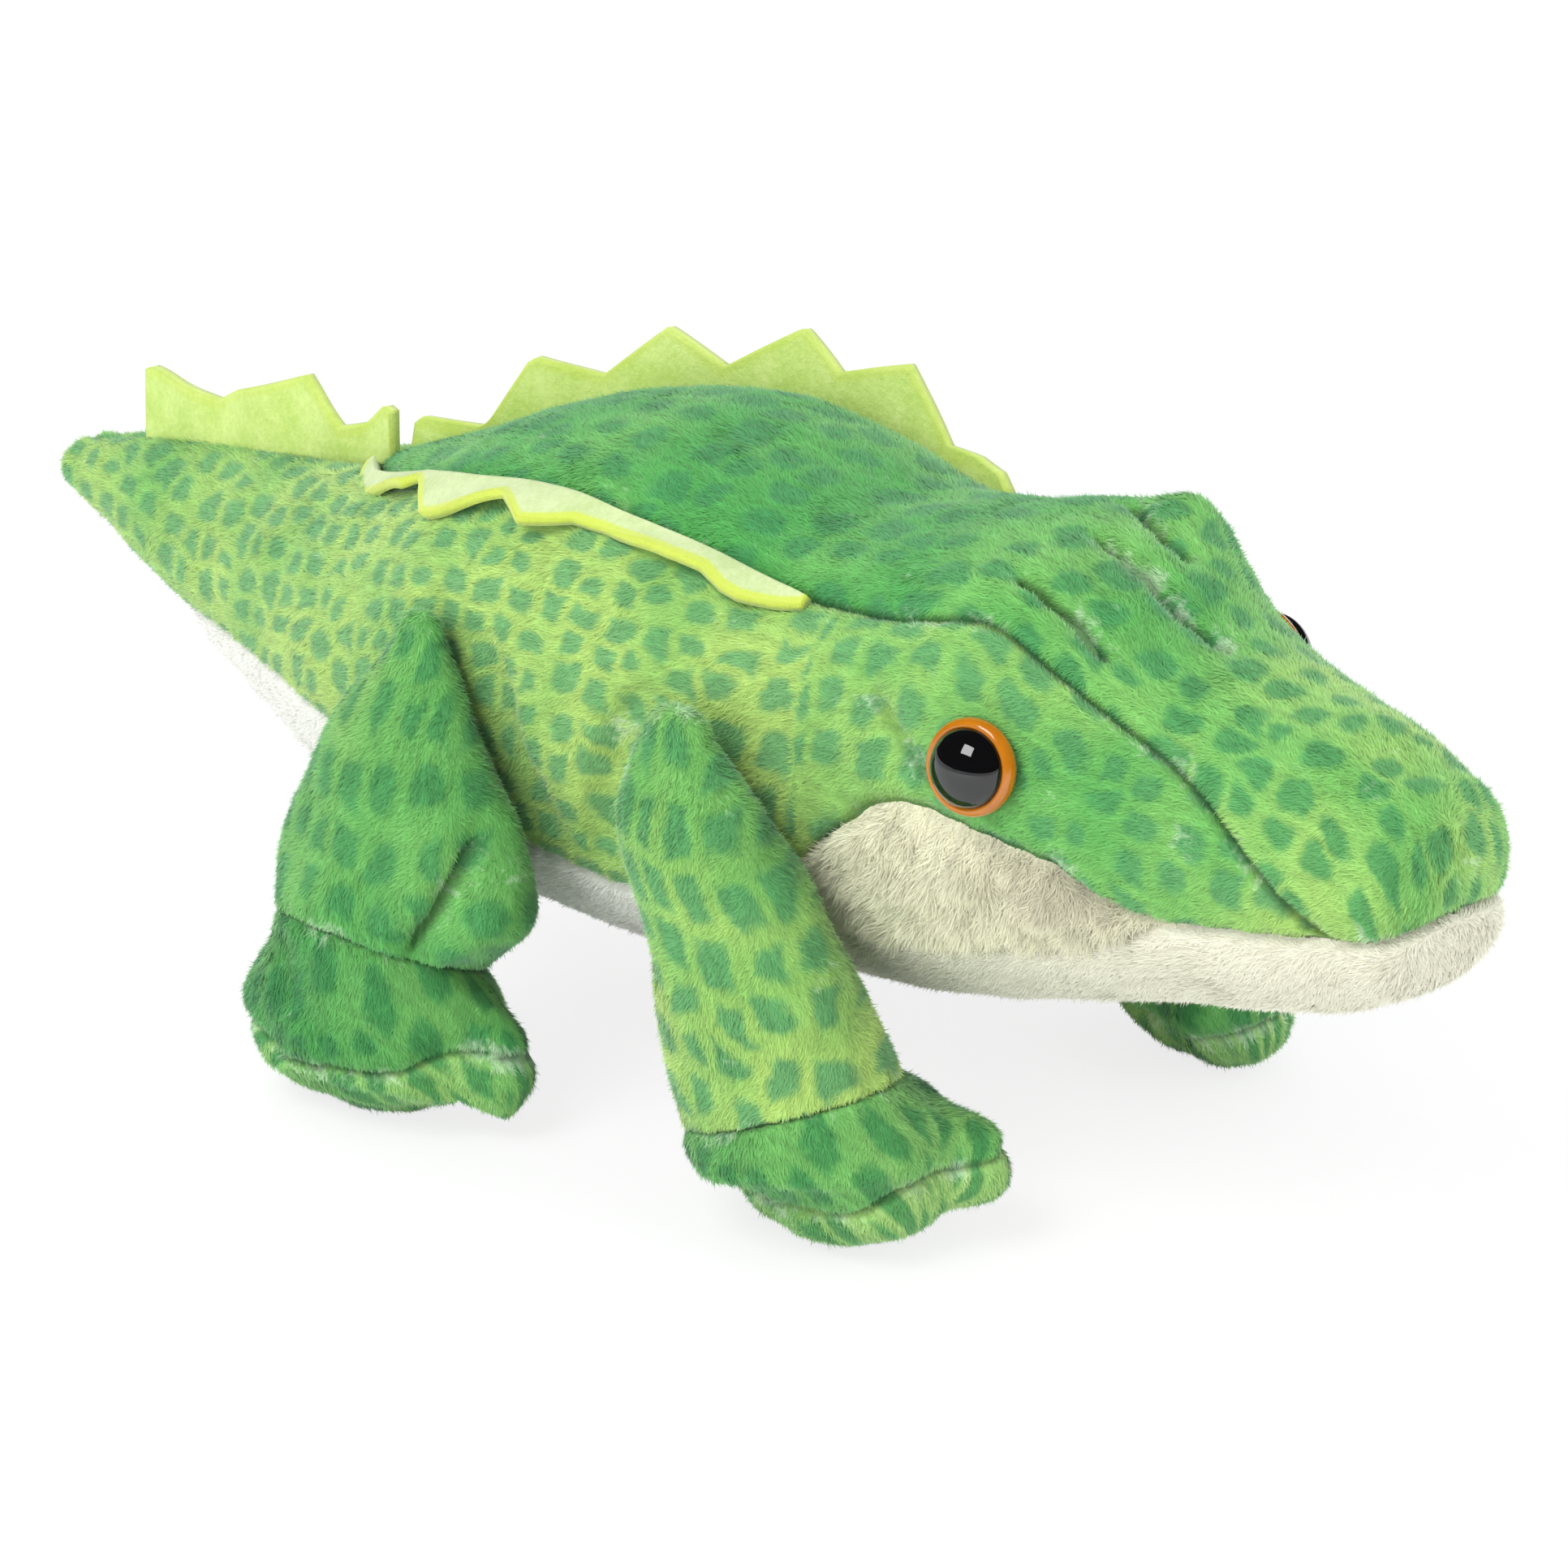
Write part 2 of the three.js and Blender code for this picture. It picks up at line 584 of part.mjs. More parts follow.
function pawTurn(limb) {
  return new THREE.Quaternion().setFromEuler(new THREE.Euler(
    THREE.MathUtils.degToRad(-limb.at.pitch), 0, THREE.MathUtils.degToRad(-limb.side * limb.at.yaw), 'ZYX',
  ));
}
function pawSpot(limb) {
  const turn = pawTurn(limb);
  const [rings] = pawForm(limb.paw, 0);
  const lowest = Math.min(...rings.flat().map((point) => point.clone().applyQuaternion(turn).z));
  const x = limb.side * (limb.seat.plane + limb.at.out);
  return new THREE.Vector3(x, limb.seat.y + limb.at.back, -lowest - floorCut);
}
const placedPoint = (limb, point) => point.clone().applyQuaternion(pawTurn(limb)).add(pawSpot(limb));
function pawSolid(limb, depth) {
  const [rings, heel, toe] = pawForm(limb.paw, depth);
  const placed = rings.map((ring) => ring.map((point) => placedPoint(limb, point)));
  const body = loftSolid(placed, placedPoint(limb, heel), placedPoint(limb, toe));
  if (depth < 0) return body;
  return body.intersect(boxSolid(bodyLength, bodyLength, bodyHeight, 0, 0, bodyHeight / 2 + depth));
}
// The edge seam of a paw lies a little under its middle.
const pawSeamShare = -0.12;
function aboveSeam(limb, offset) {
  const size = 4 * limb.paw.halfLength;
  const matrix = new THREE.Matrix4().compose(pawSpot(limb), pawTurn(limb), new THREE.Vector3(1, 1, 1));
  const lift = size / 2 + limb.paw.halfHeight * pawSeamShare + offset;
  return solidOf(new THREE.BoxGeometry(size, size, size).translate(0, 0, lift).applyMatrix4(matrix));
}

// Finishes: printed pile cloth, felt, fibre and moulded plastic
const finish = (color, roughness) => new THREE.MeshStandardMaterial({ color, roughness, metalness: 0 });
const finishes = {
  print: finish('#7cc052', 0.9),
  back: finish('#3d9c4c', 0.9),
  leg: finish('#58b14d', 0.9),
  paw: finish('#3a9d45', 0.9),
  cream: finish('#eef0d4', 0.9),
  belly: finish('#eeeee6', 0.9),
  felt: finish('#c3e374', 0.95),
  fibre: finish('#f4f4f0', 1),
  amber: finish('#e08a14', 0.25),
  black: finish('#0c0c0e', 0.08),
  washer: finish('#e6e6e0', 0.5),
};
const named = (name, geometry, material) => {
  const mesh = new THREE.Mesh(geometry, material);
  mesh.name = name;
  return mesh;
};

const croc = new THREE.Group();
const tailGroup = new THREE.Group();
tailGroup.position.set(0, tailJointY, 0);
croc.add(tailGroup);
function rootPiece(name, solid, material) {
  croc.add(named(name, geometryOf(solid), material));
}
function tailPiece(name, solid, material) {
  tailGroup.add(named(name, geometryOf(solid).translate(0, -tailJointY, 0), material));
}

const trunk = stuffing.subtract(tailCut).intersect(behind(neckY + sewnGap / 2));
const head = stuffing.intersect(ahead(neckY - sewnGap / 2)).subtract(eyePockets);
const trunkBelly = bellyPiece.subtract(tailCut).intersect(behind(throatY + sewnGap / 2));
rootPiece('trunk_stuffing', trunk, finishes.fibre);
rootPiece('head_stuffing', head, finishes.fibre);
tailPiece('tail_stuffing', stuffing.intersect(tailKeep), finishes.fibre);
rootPiece('back_panel', topPiece.subtract(tailCut), finishes.back);
rootPiece('belly_panel', trunkBelly, finishes.belly);
rootPiece('jaw_panel', bellyPiece.intersect(ahead(throatY - sewnGap / 2)), finishes.cream);
tailPiece('tail_belly_panel', bellyPiece.intersect(tailKeep), finishes.belly);
rootPiece('crest_left', leftCrest, finishes.felt);
rootPiece('crest_right', rightCrest, finishes.felt);
tailPiece('crest_tail', tailCrest, finishes.felt);

for (const side of [-1, 1]) {
  const hand = side < 0 ? 'right' : 'left';
  const flank = flankPiece(side);
  rootPiece(`side_panel_${hand}`, flank.subtract(tailCut).subtract(eyePockets), finishes.print);
  tailPiece(`tail_side_${hand}`, flank.intersect(tailKeep), finishes.print);
  rootPiece(`cheek_patch_${hand}`, cheekPiece(side), finishes.cream);
  const { spot, turned } = eyeFrame(side);
  const eyeGroup = new THREE.Group();
  eyeGroup.position.copy(spot);
  eyeGroup.quaternion.copy(turned);
  eyeGroup.add(named(`eye_rim_${hand}`, geometryOf(solidOf(revolve(rimProfile))), finishes.amber));
  eyeGroup.add(named(`eye_dome_${hand}`, geometryOf(solidOf(revolve(domeProfile))), finishes.black));
  eyeGroup.add(named(`eye_washer_${hand}`, geometryOf(solidOf(revolve(washerProfile))), finishes.washer));
  croc.add(eyeGroup);
}

for (const limb of limbs) {
  const pivot = new THREE.Group();
  pivot.position.set(0, limb.seat.y, limb.seat.z);
  croc.add(pivot);
  const add = (name, solid, material) => {
    const geometry = geometryOf(solid).translate(0, -limb.seat.y, -limb.seat.z);
    pivot.add(named(`${name}_${limb.name}`, geometry, material));
  };
  const over = pawSolid(limb, -sewnGap);
  const inside = clothThickness + stuffingGap;
  const form = limbSolid(limb, 0).intersect(limbSpace(limb, 0)).subtract(over);
  const hollow = limbSolid(limb, clothThickness).intersect(limbSpace(limb, clothThickness));
  const fill = limbSolid(limb, inside).intersect(limbSpace(limb, inside)).subtract(over);
  add('leg_cloth', form.subtract(hollow), finishes.leg);
  add('leg_stuffing', fill, finishes.fibre);
  const shell = pawSolid(limb, 0).subtract(pawSolid(limb, clothThickness));
  add('paw_top', shell.intersect(aboveSeam(limb, sewnGap / 2)), finishes.paw);
  add('paw_sole', shell.subtract(aboveSeam(limb, -sewnGap / 2)), finishes.paw);
  add('paw_stuffing', pawSolid(limb, inside), finishes.fibre);
}

export default croc;
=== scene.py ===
# Plush crocodile: printed short-pile skin over loose fibre, felt back crests and plastic eyes.
# Metres, +Z up. The snout points to -Y and the toy stands on the floor z = 0.
import math
import bmesh
import bpy
import numpy as np
from mathutils import Matrix, Vector


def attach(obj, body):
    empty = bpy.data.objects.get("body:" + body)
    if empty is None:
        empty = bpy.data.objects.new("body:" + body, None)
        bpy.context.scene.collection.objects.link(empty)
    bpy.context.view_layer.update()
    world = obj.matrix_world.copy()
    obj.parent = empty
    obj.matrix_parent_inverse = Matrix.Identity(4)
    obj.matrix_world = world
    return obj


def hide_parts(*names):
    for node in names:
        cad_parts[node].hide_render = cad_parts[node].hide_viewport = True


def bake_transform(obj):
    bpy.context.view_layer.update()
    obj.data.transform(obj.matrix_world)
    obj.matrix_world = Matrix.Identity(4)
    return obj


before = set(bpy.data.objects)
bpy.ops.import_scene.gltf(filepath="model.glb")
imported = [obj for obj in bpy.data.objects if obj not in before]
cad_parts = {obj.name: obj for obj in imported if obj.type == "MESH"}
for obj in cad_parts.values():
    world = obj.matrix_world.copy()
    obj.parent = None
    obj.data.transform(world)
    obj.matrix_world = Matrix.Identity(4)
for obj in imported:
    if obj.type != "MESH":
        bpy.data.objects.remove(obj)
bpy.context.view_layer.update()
scene = bpy.context.scene
scene.view_settings.view_transform = "Standard"

# Camera: a long lens from the toy's right front, a little above it, as in the photograph.
camera_data = bpy.data.cameras.new("camera")
camera_data.sensor_width = 36.0
camera_data.lens = 129.69
camera_data.clip_start = 0.05
camera_data.clip_end = 20.0
camera = bpy.data.objects.new("camera", camera_data)
scene.collection.objects.link(camera)
camera.location = (-0.5505, -0.5664, 0.3536)
look = Vector((-0.02395, -0.04178, 0.05591)) - camera.location
camera.rotation_mode = "QUATERNION"
camera.rotation_quaternion = look.to_track_quat("-Z", "Y")
scene.camera = camera


# Studio: a white floor that keeps a faint shadow, one broad soft lamp over the head end and a
# weaker one behind, and an even pale surround.
def linear(code):
    """An sRGB hex colour as linear numbers."""
    parts = [int(code[k:k + 2], 16) / 255 for k in (1, 3, 5)]
    return (*[c / 12.92 if c <= 0.04045 else ((c + 0.055) / 1.055) ** 2.4 for c in parts], 1.0)


def add(tree, kind, *inputs, **settings):
    """One node and its settings. The inputs come in order, or by name in a dict. Each is a value, a
    socket, or a node that stands for its first output."""
    made = tree.nodes.new("ShaderNode" + kind)
    for key, value in settings.items():
        setattr(made, key, value)
    for order, given in enumerate(inputs):
        for key, value in (given if isinstance(given, dict) else {order: given}).items():
            if isinstance(value, bpy.types.Node):
                value = next(output for output in value.outputs if not output.is_unavailable)
            if isinstance(value, bpy.types.NodeSocket):
                tree.links.new(value, made.inputs[key])
            else:
                made.inputs[key].default_value = value
    return made


def blank(name):
    """An empty node material and its tree."""
    material = bpy.data.materials.new(name)
    material.use_nodes = True
    material.node_tree.nodes.clear()
    return material, material.node_tree


def piece_from(bm, name, material=None):
    """The finished object of a bmesh, smooth where it has a material."""
    mesh = bpy.data.meshes.new(name)
    bm.to_mesh(mesh)
    bm.free()
    if material:
        mesh.shade_smooth()
        mesh.materials.append(material)
    piece = bpy.data.objects.new(name, mesh)
    scene.collection.objects.link(piece)
    return piece


world = bpy.data.worlds.new("studio")
world.use_nodes = True
scene.world = world
sky = world.node_tree
sky.nodes.clear()
seen = add(sky, "LightPath")
heading = add(sky, "SeparateXYZ", add(sky, "TexCoord").outputs["Generated"])
# Seen in the glossy eyes, the pale sweep ends at its far edge and the room above is dark
above = add(sky, "Math", heading.outputs[2], 0.05, operation="GREATER_THAN")
dark = add(sky, "Math", above, seen.outputs["Is Glossy Ray"], operation="MULTIPLY")
around = add(sky, "Background", linear("#f7f9fb"), 0.92)
room = add(sky, "Background", linear("#f7f9fb"), 0.03)
behind = add(sky, "Background", (1, 1, 1, 1), 1.0)
lit_room = add(sky, "MixShader", dark, around, room)
shown = add(sky, "MixShader", seen.outputs["Is Camera Ray"], lit_room, behind)
add(sky, "OutputWorld", {"Surface": shown})

bm = bmesh.new()
bmesh.ops.create_grid(bm, x_segments=1, y_segments=1, size=3.0)
floor = piece_from(bm, "floor")
# Matt paper: no gloss, so only a soft shadow shows on it
paper, tree = blank("white_paper_sweep")
lit = add(tree, "BsdfDiffuse", linear("#fbfbfb"))
glow = add(tree, "Emission", (1, 1, 1, 1), 1.0)
share = add(tree, "Math", add(tree, "LightPath").outputs["Is Camera Ray"], 0.80, operation="MULTIPLY")
add(tree, "OutputMaterial", {"Surface": add(tree, "MixShader", share, lit, glow)})
floor.data.materials.append(paper)

for name, size, energy, place, aim, glossy in (
    ("key_lamp", 0.62, 10.0, (-0.95, -0.10, 1.15), (0.0, -0.03, 0.04), True),
    ("fill_lamp", 1.1, 5.4, (0.55, -1.15, 0.75), (0.0, 0.0, 0.05), False),
    ("back_lamp", 0.8, 3.5, (0.35, 1.0, 1.1), (0.0, 0.02, 0.05), False),
    ("low_lamp", 0.9, 5.0, (-1.25, -0.35, 0.14), (0.0, 0.0, 0.04), False),
):
    lamp_data = bpy.data.lights.new(name, "AREA")
    lamp_data.shape = "SQUARE"
    lamp_data.size = size
    lamp_data.energy = energy
    lamp = bpy.data.objects.new(name, lamp_data)
    scene.collection.objects.link(lamp)
    lamp.location = place
    lamp.rotation_mode = "QUATERNION"
    lamp.rotation_quaternion = (Vector(aim) - Vector(place)).to_track_quat("-Z", "Y")
    lamp.visible_glossy = glossy

# Side panels: two long pieces of printed short-pile plush, one on each flank, from the tail tip to
# the snout. They are sewn face to face along the back and the belly and turned, so each edge is
# drawn in at its seam, and the stuffing pushes them out between.
MM = 0.001
body_size = np.array([41.5, 300.0, 97.0]) * MM
tail_cap, snout_cap = 7.5 * MM, 8.5 * MM
# Place along the length, half width, height of the widest line, top and bottom
ring_shares = np.array([
    [0.470, 0.188, 0.562, 0.624, 0.508], [0.430, 0.272, 0.551, 0.658, 0.470],
    [0.373, 0.381, 0.533, 0.690, 0.406], [0.307, 0.518, 0.512, 0.720, 0.328],
    [0.233, 0.699, 0.515, 0.760, 0.247], [0.160, 0.855, 0.536, 0.848, 0.196],
    [0.080, 0.964, 0.577, 0.960, 0.170], [0.000, 1.000, 0.598, 1.010, 0.170],
    [-0.073, 0.976, 0.608, 1.000, 0.191], [-0.140, 0.892, 0.608, 0.965, 0.227],
    [-0.193, 0.843, 0.619, 0.985, 0.263], [-0.240, 0.831, 0.629, 1.014, 0.289],
    [-0.287, 0.795, 0.634, 0.992, 0.320], [-0.333, 0.711, 0.629, 0.917, 0.356],
    [-0.380, 0.609, 0.618, 0.868, 0.392], [-0.427, 0.514, 0.608, 0.838, 0.428],
    [-0.457, 0.405, 0.613, 0.802, 0.472],
])
# Roundness, then the back seam and the belly and mouth seam as shares of the half turn
seam_shares = np.array([
    [1.00, 0.000, 1.000], [1.00, 0.000, 0.955], [1.00, 0.000, 0.740], [1.00, 0.010, 0.600],
    [0.98, 0.028, 0.561], [0.95, 0.109, 0.578], [0.92, 0.160, 0.622], [0.90, 0.189, 0.650],
    [0.90, 0.206, 0.689], [0.88, 0.212, 0.689], [0.82, 0.240, 0.678], [0.78, 0.258, 0.672],
    [0.82, 0.250, 0.667], [0.88, 0.238, 0.639], [0.92, 0.288, 0.568], [0.90, 0.436, 0.532],
    [0.88, 0.540, 0.540],
])
last_ring = len(ring_shares) - 1
# Seats of the legs: along, up, plane, radius at the hinge and radius under it
seats = ((-38 * MM, 60 * MM, 37.6 * MM, 14 * MM, 24 * MM), (13 * MM, 60 * MM, 39.4 * MM, 14 * MM, 32 * MM))
seat_run, seat_fade = 30 * MM, 12 * MM
# How far the cloth lies under the outline, and where the brows stand out: place, push and reach. The
# last two are the left brow's corner
pile_depth = 0.8 * MM
brows = (((-25, -82, 93), (0, 0, 3.5), 8), ((25, -82, 93), (0, 0, 3.5), 8),
         ((21.5, -79, 98), (0, 0, 2.4), 4.5), ((27, -93, 84), (-1.3, 0.7, -0.6), 7))


def smooth(value, low, high):
    t = np.clip((value - low) / (high - low), 0, 1)
    return t * t * (3 - 2 * t)


def bell(value, width):
    """1 at nought, falling softly to nothing a few widths away."""
    return np.exp(-((value / width) ** 2))


def unit(vectors, least=1e-9):
    return vectors / (np.linalg.norm(vectors, axis=1)[:, None] + least)


def bisected(low, high, steps, is_past):
    """Where a test turns from true to false between two bounds, for each of many numbers."""
    low, high = np.array(low, float), np.array(high, float)
    for _ in range(steps):
        half = (low + high) / 2
        past = is_past(half)
        low, high = np.where(past, half, low), np.where(past, high, half)
    return low


def move_verts(bm, points):
    for v, co in zip(bm.verts, points):
        v.co = co


def blended(table, place):
    """Rows of a table at any place between them, on a smooth curve."""
    held = np.clip(place, 0, len(table) - 1)
    cell = np.minimum(held.astype(int), len(table) - 2)
    t = (held - cell)[:, None]
    before, start, end = table[np.maximum(cell - 1, 0)], table[cell], table[cell + 1]
    after = table[np.minimum(cell + 2, len(table) - 1)]
    rise = (t ** 3 - 2 * t ** 2 + t) * (end - before) / 2 + (t ** 3 - t ** 2) * (after - start) / 2
    return (2 * t ** 3 - 3 * t ** 2 + 1) * start + (3 * t ** 2 - 2 * t ** 3) * end + rise


def body_rings(place):
    """The section of the body at each place, with a dome past either end."""
    past = place - np.clip(place, 0, last_ring)
    shrink = np.maximum(np.cos(np.abs(past) * math.pi / 2), 0)
    front = past > 0
    swell = np.where(front, shrink ** 0.8, shrink)
    along, half, middle, top, bottom = blended(ring_shares, place).T
    y = along * body_size[1] - np.where(front, snout_cap, tail_cap) * np.sin(past * math.pi / 2)
    return {
        "y": y, "half": half * body_size[0] * swell, "middle": middle * body_size[2],
        "above": (top - middle) * body_size[2] * swell,
        "below": (middle - bottom) * body_size[2] * np.where(front, swell ** 1.4, swell),
        "seams": blended(seam_shares, place),
    }


def skin(place, turn):
    """Points of the body's surface. The turn is 0 on top, 1 underneath and negative to -X."""
    ring = body_rings(place)
    s, c = np.sin(math.pi * turn), np.cos(math.pi * turn)
    power = ring["seams"][:, 0]
    x = ring["half"] * np.sign(s) * np.abs(s) ** power
    z = ring["middle"] + np.where(c > 0, ring["above"], ring["below"]) * np.sign(c) * np.abs(c) ** power
    points = np.stack([x, ring["y"], z], 1)
    for spot, push, reach in brows:
        away = np.linalg.norm(points - np.array(spot) * MM, axis=1)
        points += np.exp(-((away / (reach * MM)) ** 2) / 2)[:, None] * np.array(push) * MM
    # The flanks are flat where the legs are sewn on
    limit = np.full(len(points), 1.0)
    for y, z, plane, top_radius, foot_radius in seats:
        down = np.clip((z - points[:, 2]) / seat_run, 0, 1)
        radius = top_radius + (foot_radius - top_radius) * down
        away = np.hypot(points[:, 1] - y, points[:, 2] - (z - down * seat_run))
        limit = np.minimum(limit, plane - 0.5 * MM + seat_fade * smooth(away - radius, 0, seat_fade))
    points[:, 0] = np.clip(points[:, 0], -limit, limit)
    return points


def place_of(y):
    """The place along the body of each y."""
    ends = np.full(len(y), -1.0), np.full(len(y), last_ring + 1.0)
    return bisected(*ends, 40, lambda place: body_rings(place)["y"] > y)


def soft_noise(points, size, seed):
    """Smooth numbers from about -1 to 1 that vary over a size, for lumps in the stuffing and nap."""
    dice = np.random.default_rng(seed)
    total = np.zeros(len(points))
    for _ in range(7):
        way = dice.normal(size=3)
        way *= 2 * math.pi / (size * dice.uniform(0.7, 1.5)) / np.linalg.norm(way)
        total += np.sin(points @ way + dice.uniform(0, 2 * math.pi))
    return total / 3.2


def sag(y):
    """How far the flopped crest has dragged the right back seam down, in half turns."""
    along = (0.222 - y / body_size[1]) / 0.382
    depth = 0.009 + 0.031 * (1 - smooth(along, 0.30, 0.75))
    return depth * smooth(along, -0.05, 0.10) * (1 - smooth(along, 0.90, 1.10))


def from_lines(points, lines):
    """How far each point is from the nearest of some lines of points in millimetres."""
    nearest = np.full(len(points), 1.0)
    for line in lines:
        line = np.array(line) * MM
        for start, end in zip(line, line[1:]):
            t = np.clip((points - start) @ (end - start) / ((end - start) @ (end - start)), 0, 1)
            nearest = np.minimum(nearest, np.linalg.norm(points - start - t[:, None] * (end - start), axis=1))
    return nearest


def bare_patches(points, places):
    """Where the pile is parted and its pale backing shows, from places with a radius and a strength."""
    shown = np.zeros(len(points))
    for x, y, z, radius, strength in places:
        away = np.linalg.norm(points / MM - np.array([x, y, z]), axis=1)
        shown = np.maximum(shown, strength * bell(away, radius))
    return shown


def pile(points, normals, faces, cloth, uv, flow, length, density, seed, spread, lift, blade, clump):
    """Short fibres rooted all over a skin: one narrow face each, lying along the flow. The
    spread sideways and the lift are in radians."""
    dice = np.random.default_rng(seed)
    corners = points[faces]
    area = np.linalg.norm(np.cross(corners[:, 1] - corners[:, 0], corners[:, 2] - corners[:, 0]), axis=1) / 2
    count = int(area.sum() / MM ** 2 * density * (1))
    pick = dice.choice(len(faces), count, p=area / area.sum())
    a, b = dice.random(count), dice.random(count)
    a, b = np.where(a + b > 1, 1 - a, a), np.where(a + b > 1, 1 - b, b)
    weights = np.stack([1 - a - b, a, b], 1)[:, :, None]
    root = (corners[pick] * weights).sum(1)
    out_way = unit((normals[faces[pick]] * weights).sum(1), 0)
    here = (cloth[faces[pick]] * weights).sum(1)
    spot = (uv[pick] * weights).sum(1)
    way = np.array(flow)
    way = unit(way - out_way * (way * out_way).sum(1)[:, None])
    side = np.cross(out_way, way)
    swing = spread * dice.normal(size=count) + 0.40 * soft_noise(root, 16 * MM, seed + 1)
    swing = swing + 0.30 * soft_noise(root, 5 * MM, seed + 2)
    way = way * np.cos(swing)[:, None] + side * np.sin(swing)[:, None]
    tuft = clump * soft_noise(root, 5 * MM, seed + 3)
    # About one fibre in 16 stands up out of the nap, and all are shorter at a seam
    rise = (dice.uniform(*lift, count) + 0.5 * (dice.random(count) < 0.06) + 0.5 * tuft)[:, None]
    shaft = way * np.cos(rise) + out_way * np.sin(rise)
    tall = length * dice.uniform(0.6, 1.2, count) * np.clip(0.25 + here[:, 2] / 2.4, 0.25, 1) * (1 + tuft)
    flat = unit(np.cross(shaft, out_way))
    twist = dice.normal(size=count)[:, None] * 0.3
    flat = flat * np.cos(twist) + out_way * np.sin(twist)
    wide = blade * dice.uniform(0.7, 1.3, count)[:, None] / 2
    tip = root + shaft * tall[:, None]
    # The print carries on over the fibres, so a tip has the cloth's own colour under it
    first, second = corners[pick, 1] - corners[pick, 0], corners[pick, 2] - corners[pick, 0]
    reach = tip - root
    aa, ab, bb = (first * first).sum(1), (first * second).sum(1), (second * second).sum(1)
    da, db = (reach * first).sum(1), (reach * second).sum(1)
    across = aa * bb - ab * ab
    sound = across > 0.02 * aa * bb
    across = np.where(sound, across, 1.0)
    step_a = np.where(sound, (bb * da - ab * db) / across, 0)[:, None]
    step_b = np.where(sound, (aa * db - ab * da) / across, 0)[:, None]
    on_face = cloth[faces[pick]][:, :, :2]
    under_tip = (on_face[:, 1] - on_face[:, 0]) * step_a + (on_face[:, 2] - on_face[:, 0]) * step_b
    under_tip = 0.7 * np.clip(under_tip, -3, 3)
    new = np.stack([root - flat * wide, root + flat * wide, tip], 1).reshape(-1, 3)
    new[:, 2] = np.maximum(new[:, 2], 0.1 * MM)
    lean = out_way + 0.12 * dice.normal(size=(count, 3))
    strand = np.repeat(here, 3, 0)
    strand[:, 5] = np.repeat(dice.random(count), 3)
    strand[2::3, 6] = 1.0
    strand[2::3, :2] += under_tip
    around_spot = spot[:, None, :] + np.array([[-0.0012, -0.001], [0.0012, -0.001], [0.0, 0.0015]])
    around_spot = around_spot.clip((0.001, 0.071), 0.999)
    return new, np.repeat(unit(lean, 0), 3, 0), np.arange(3 * count).reshape(-1, 3), strand, around_spot


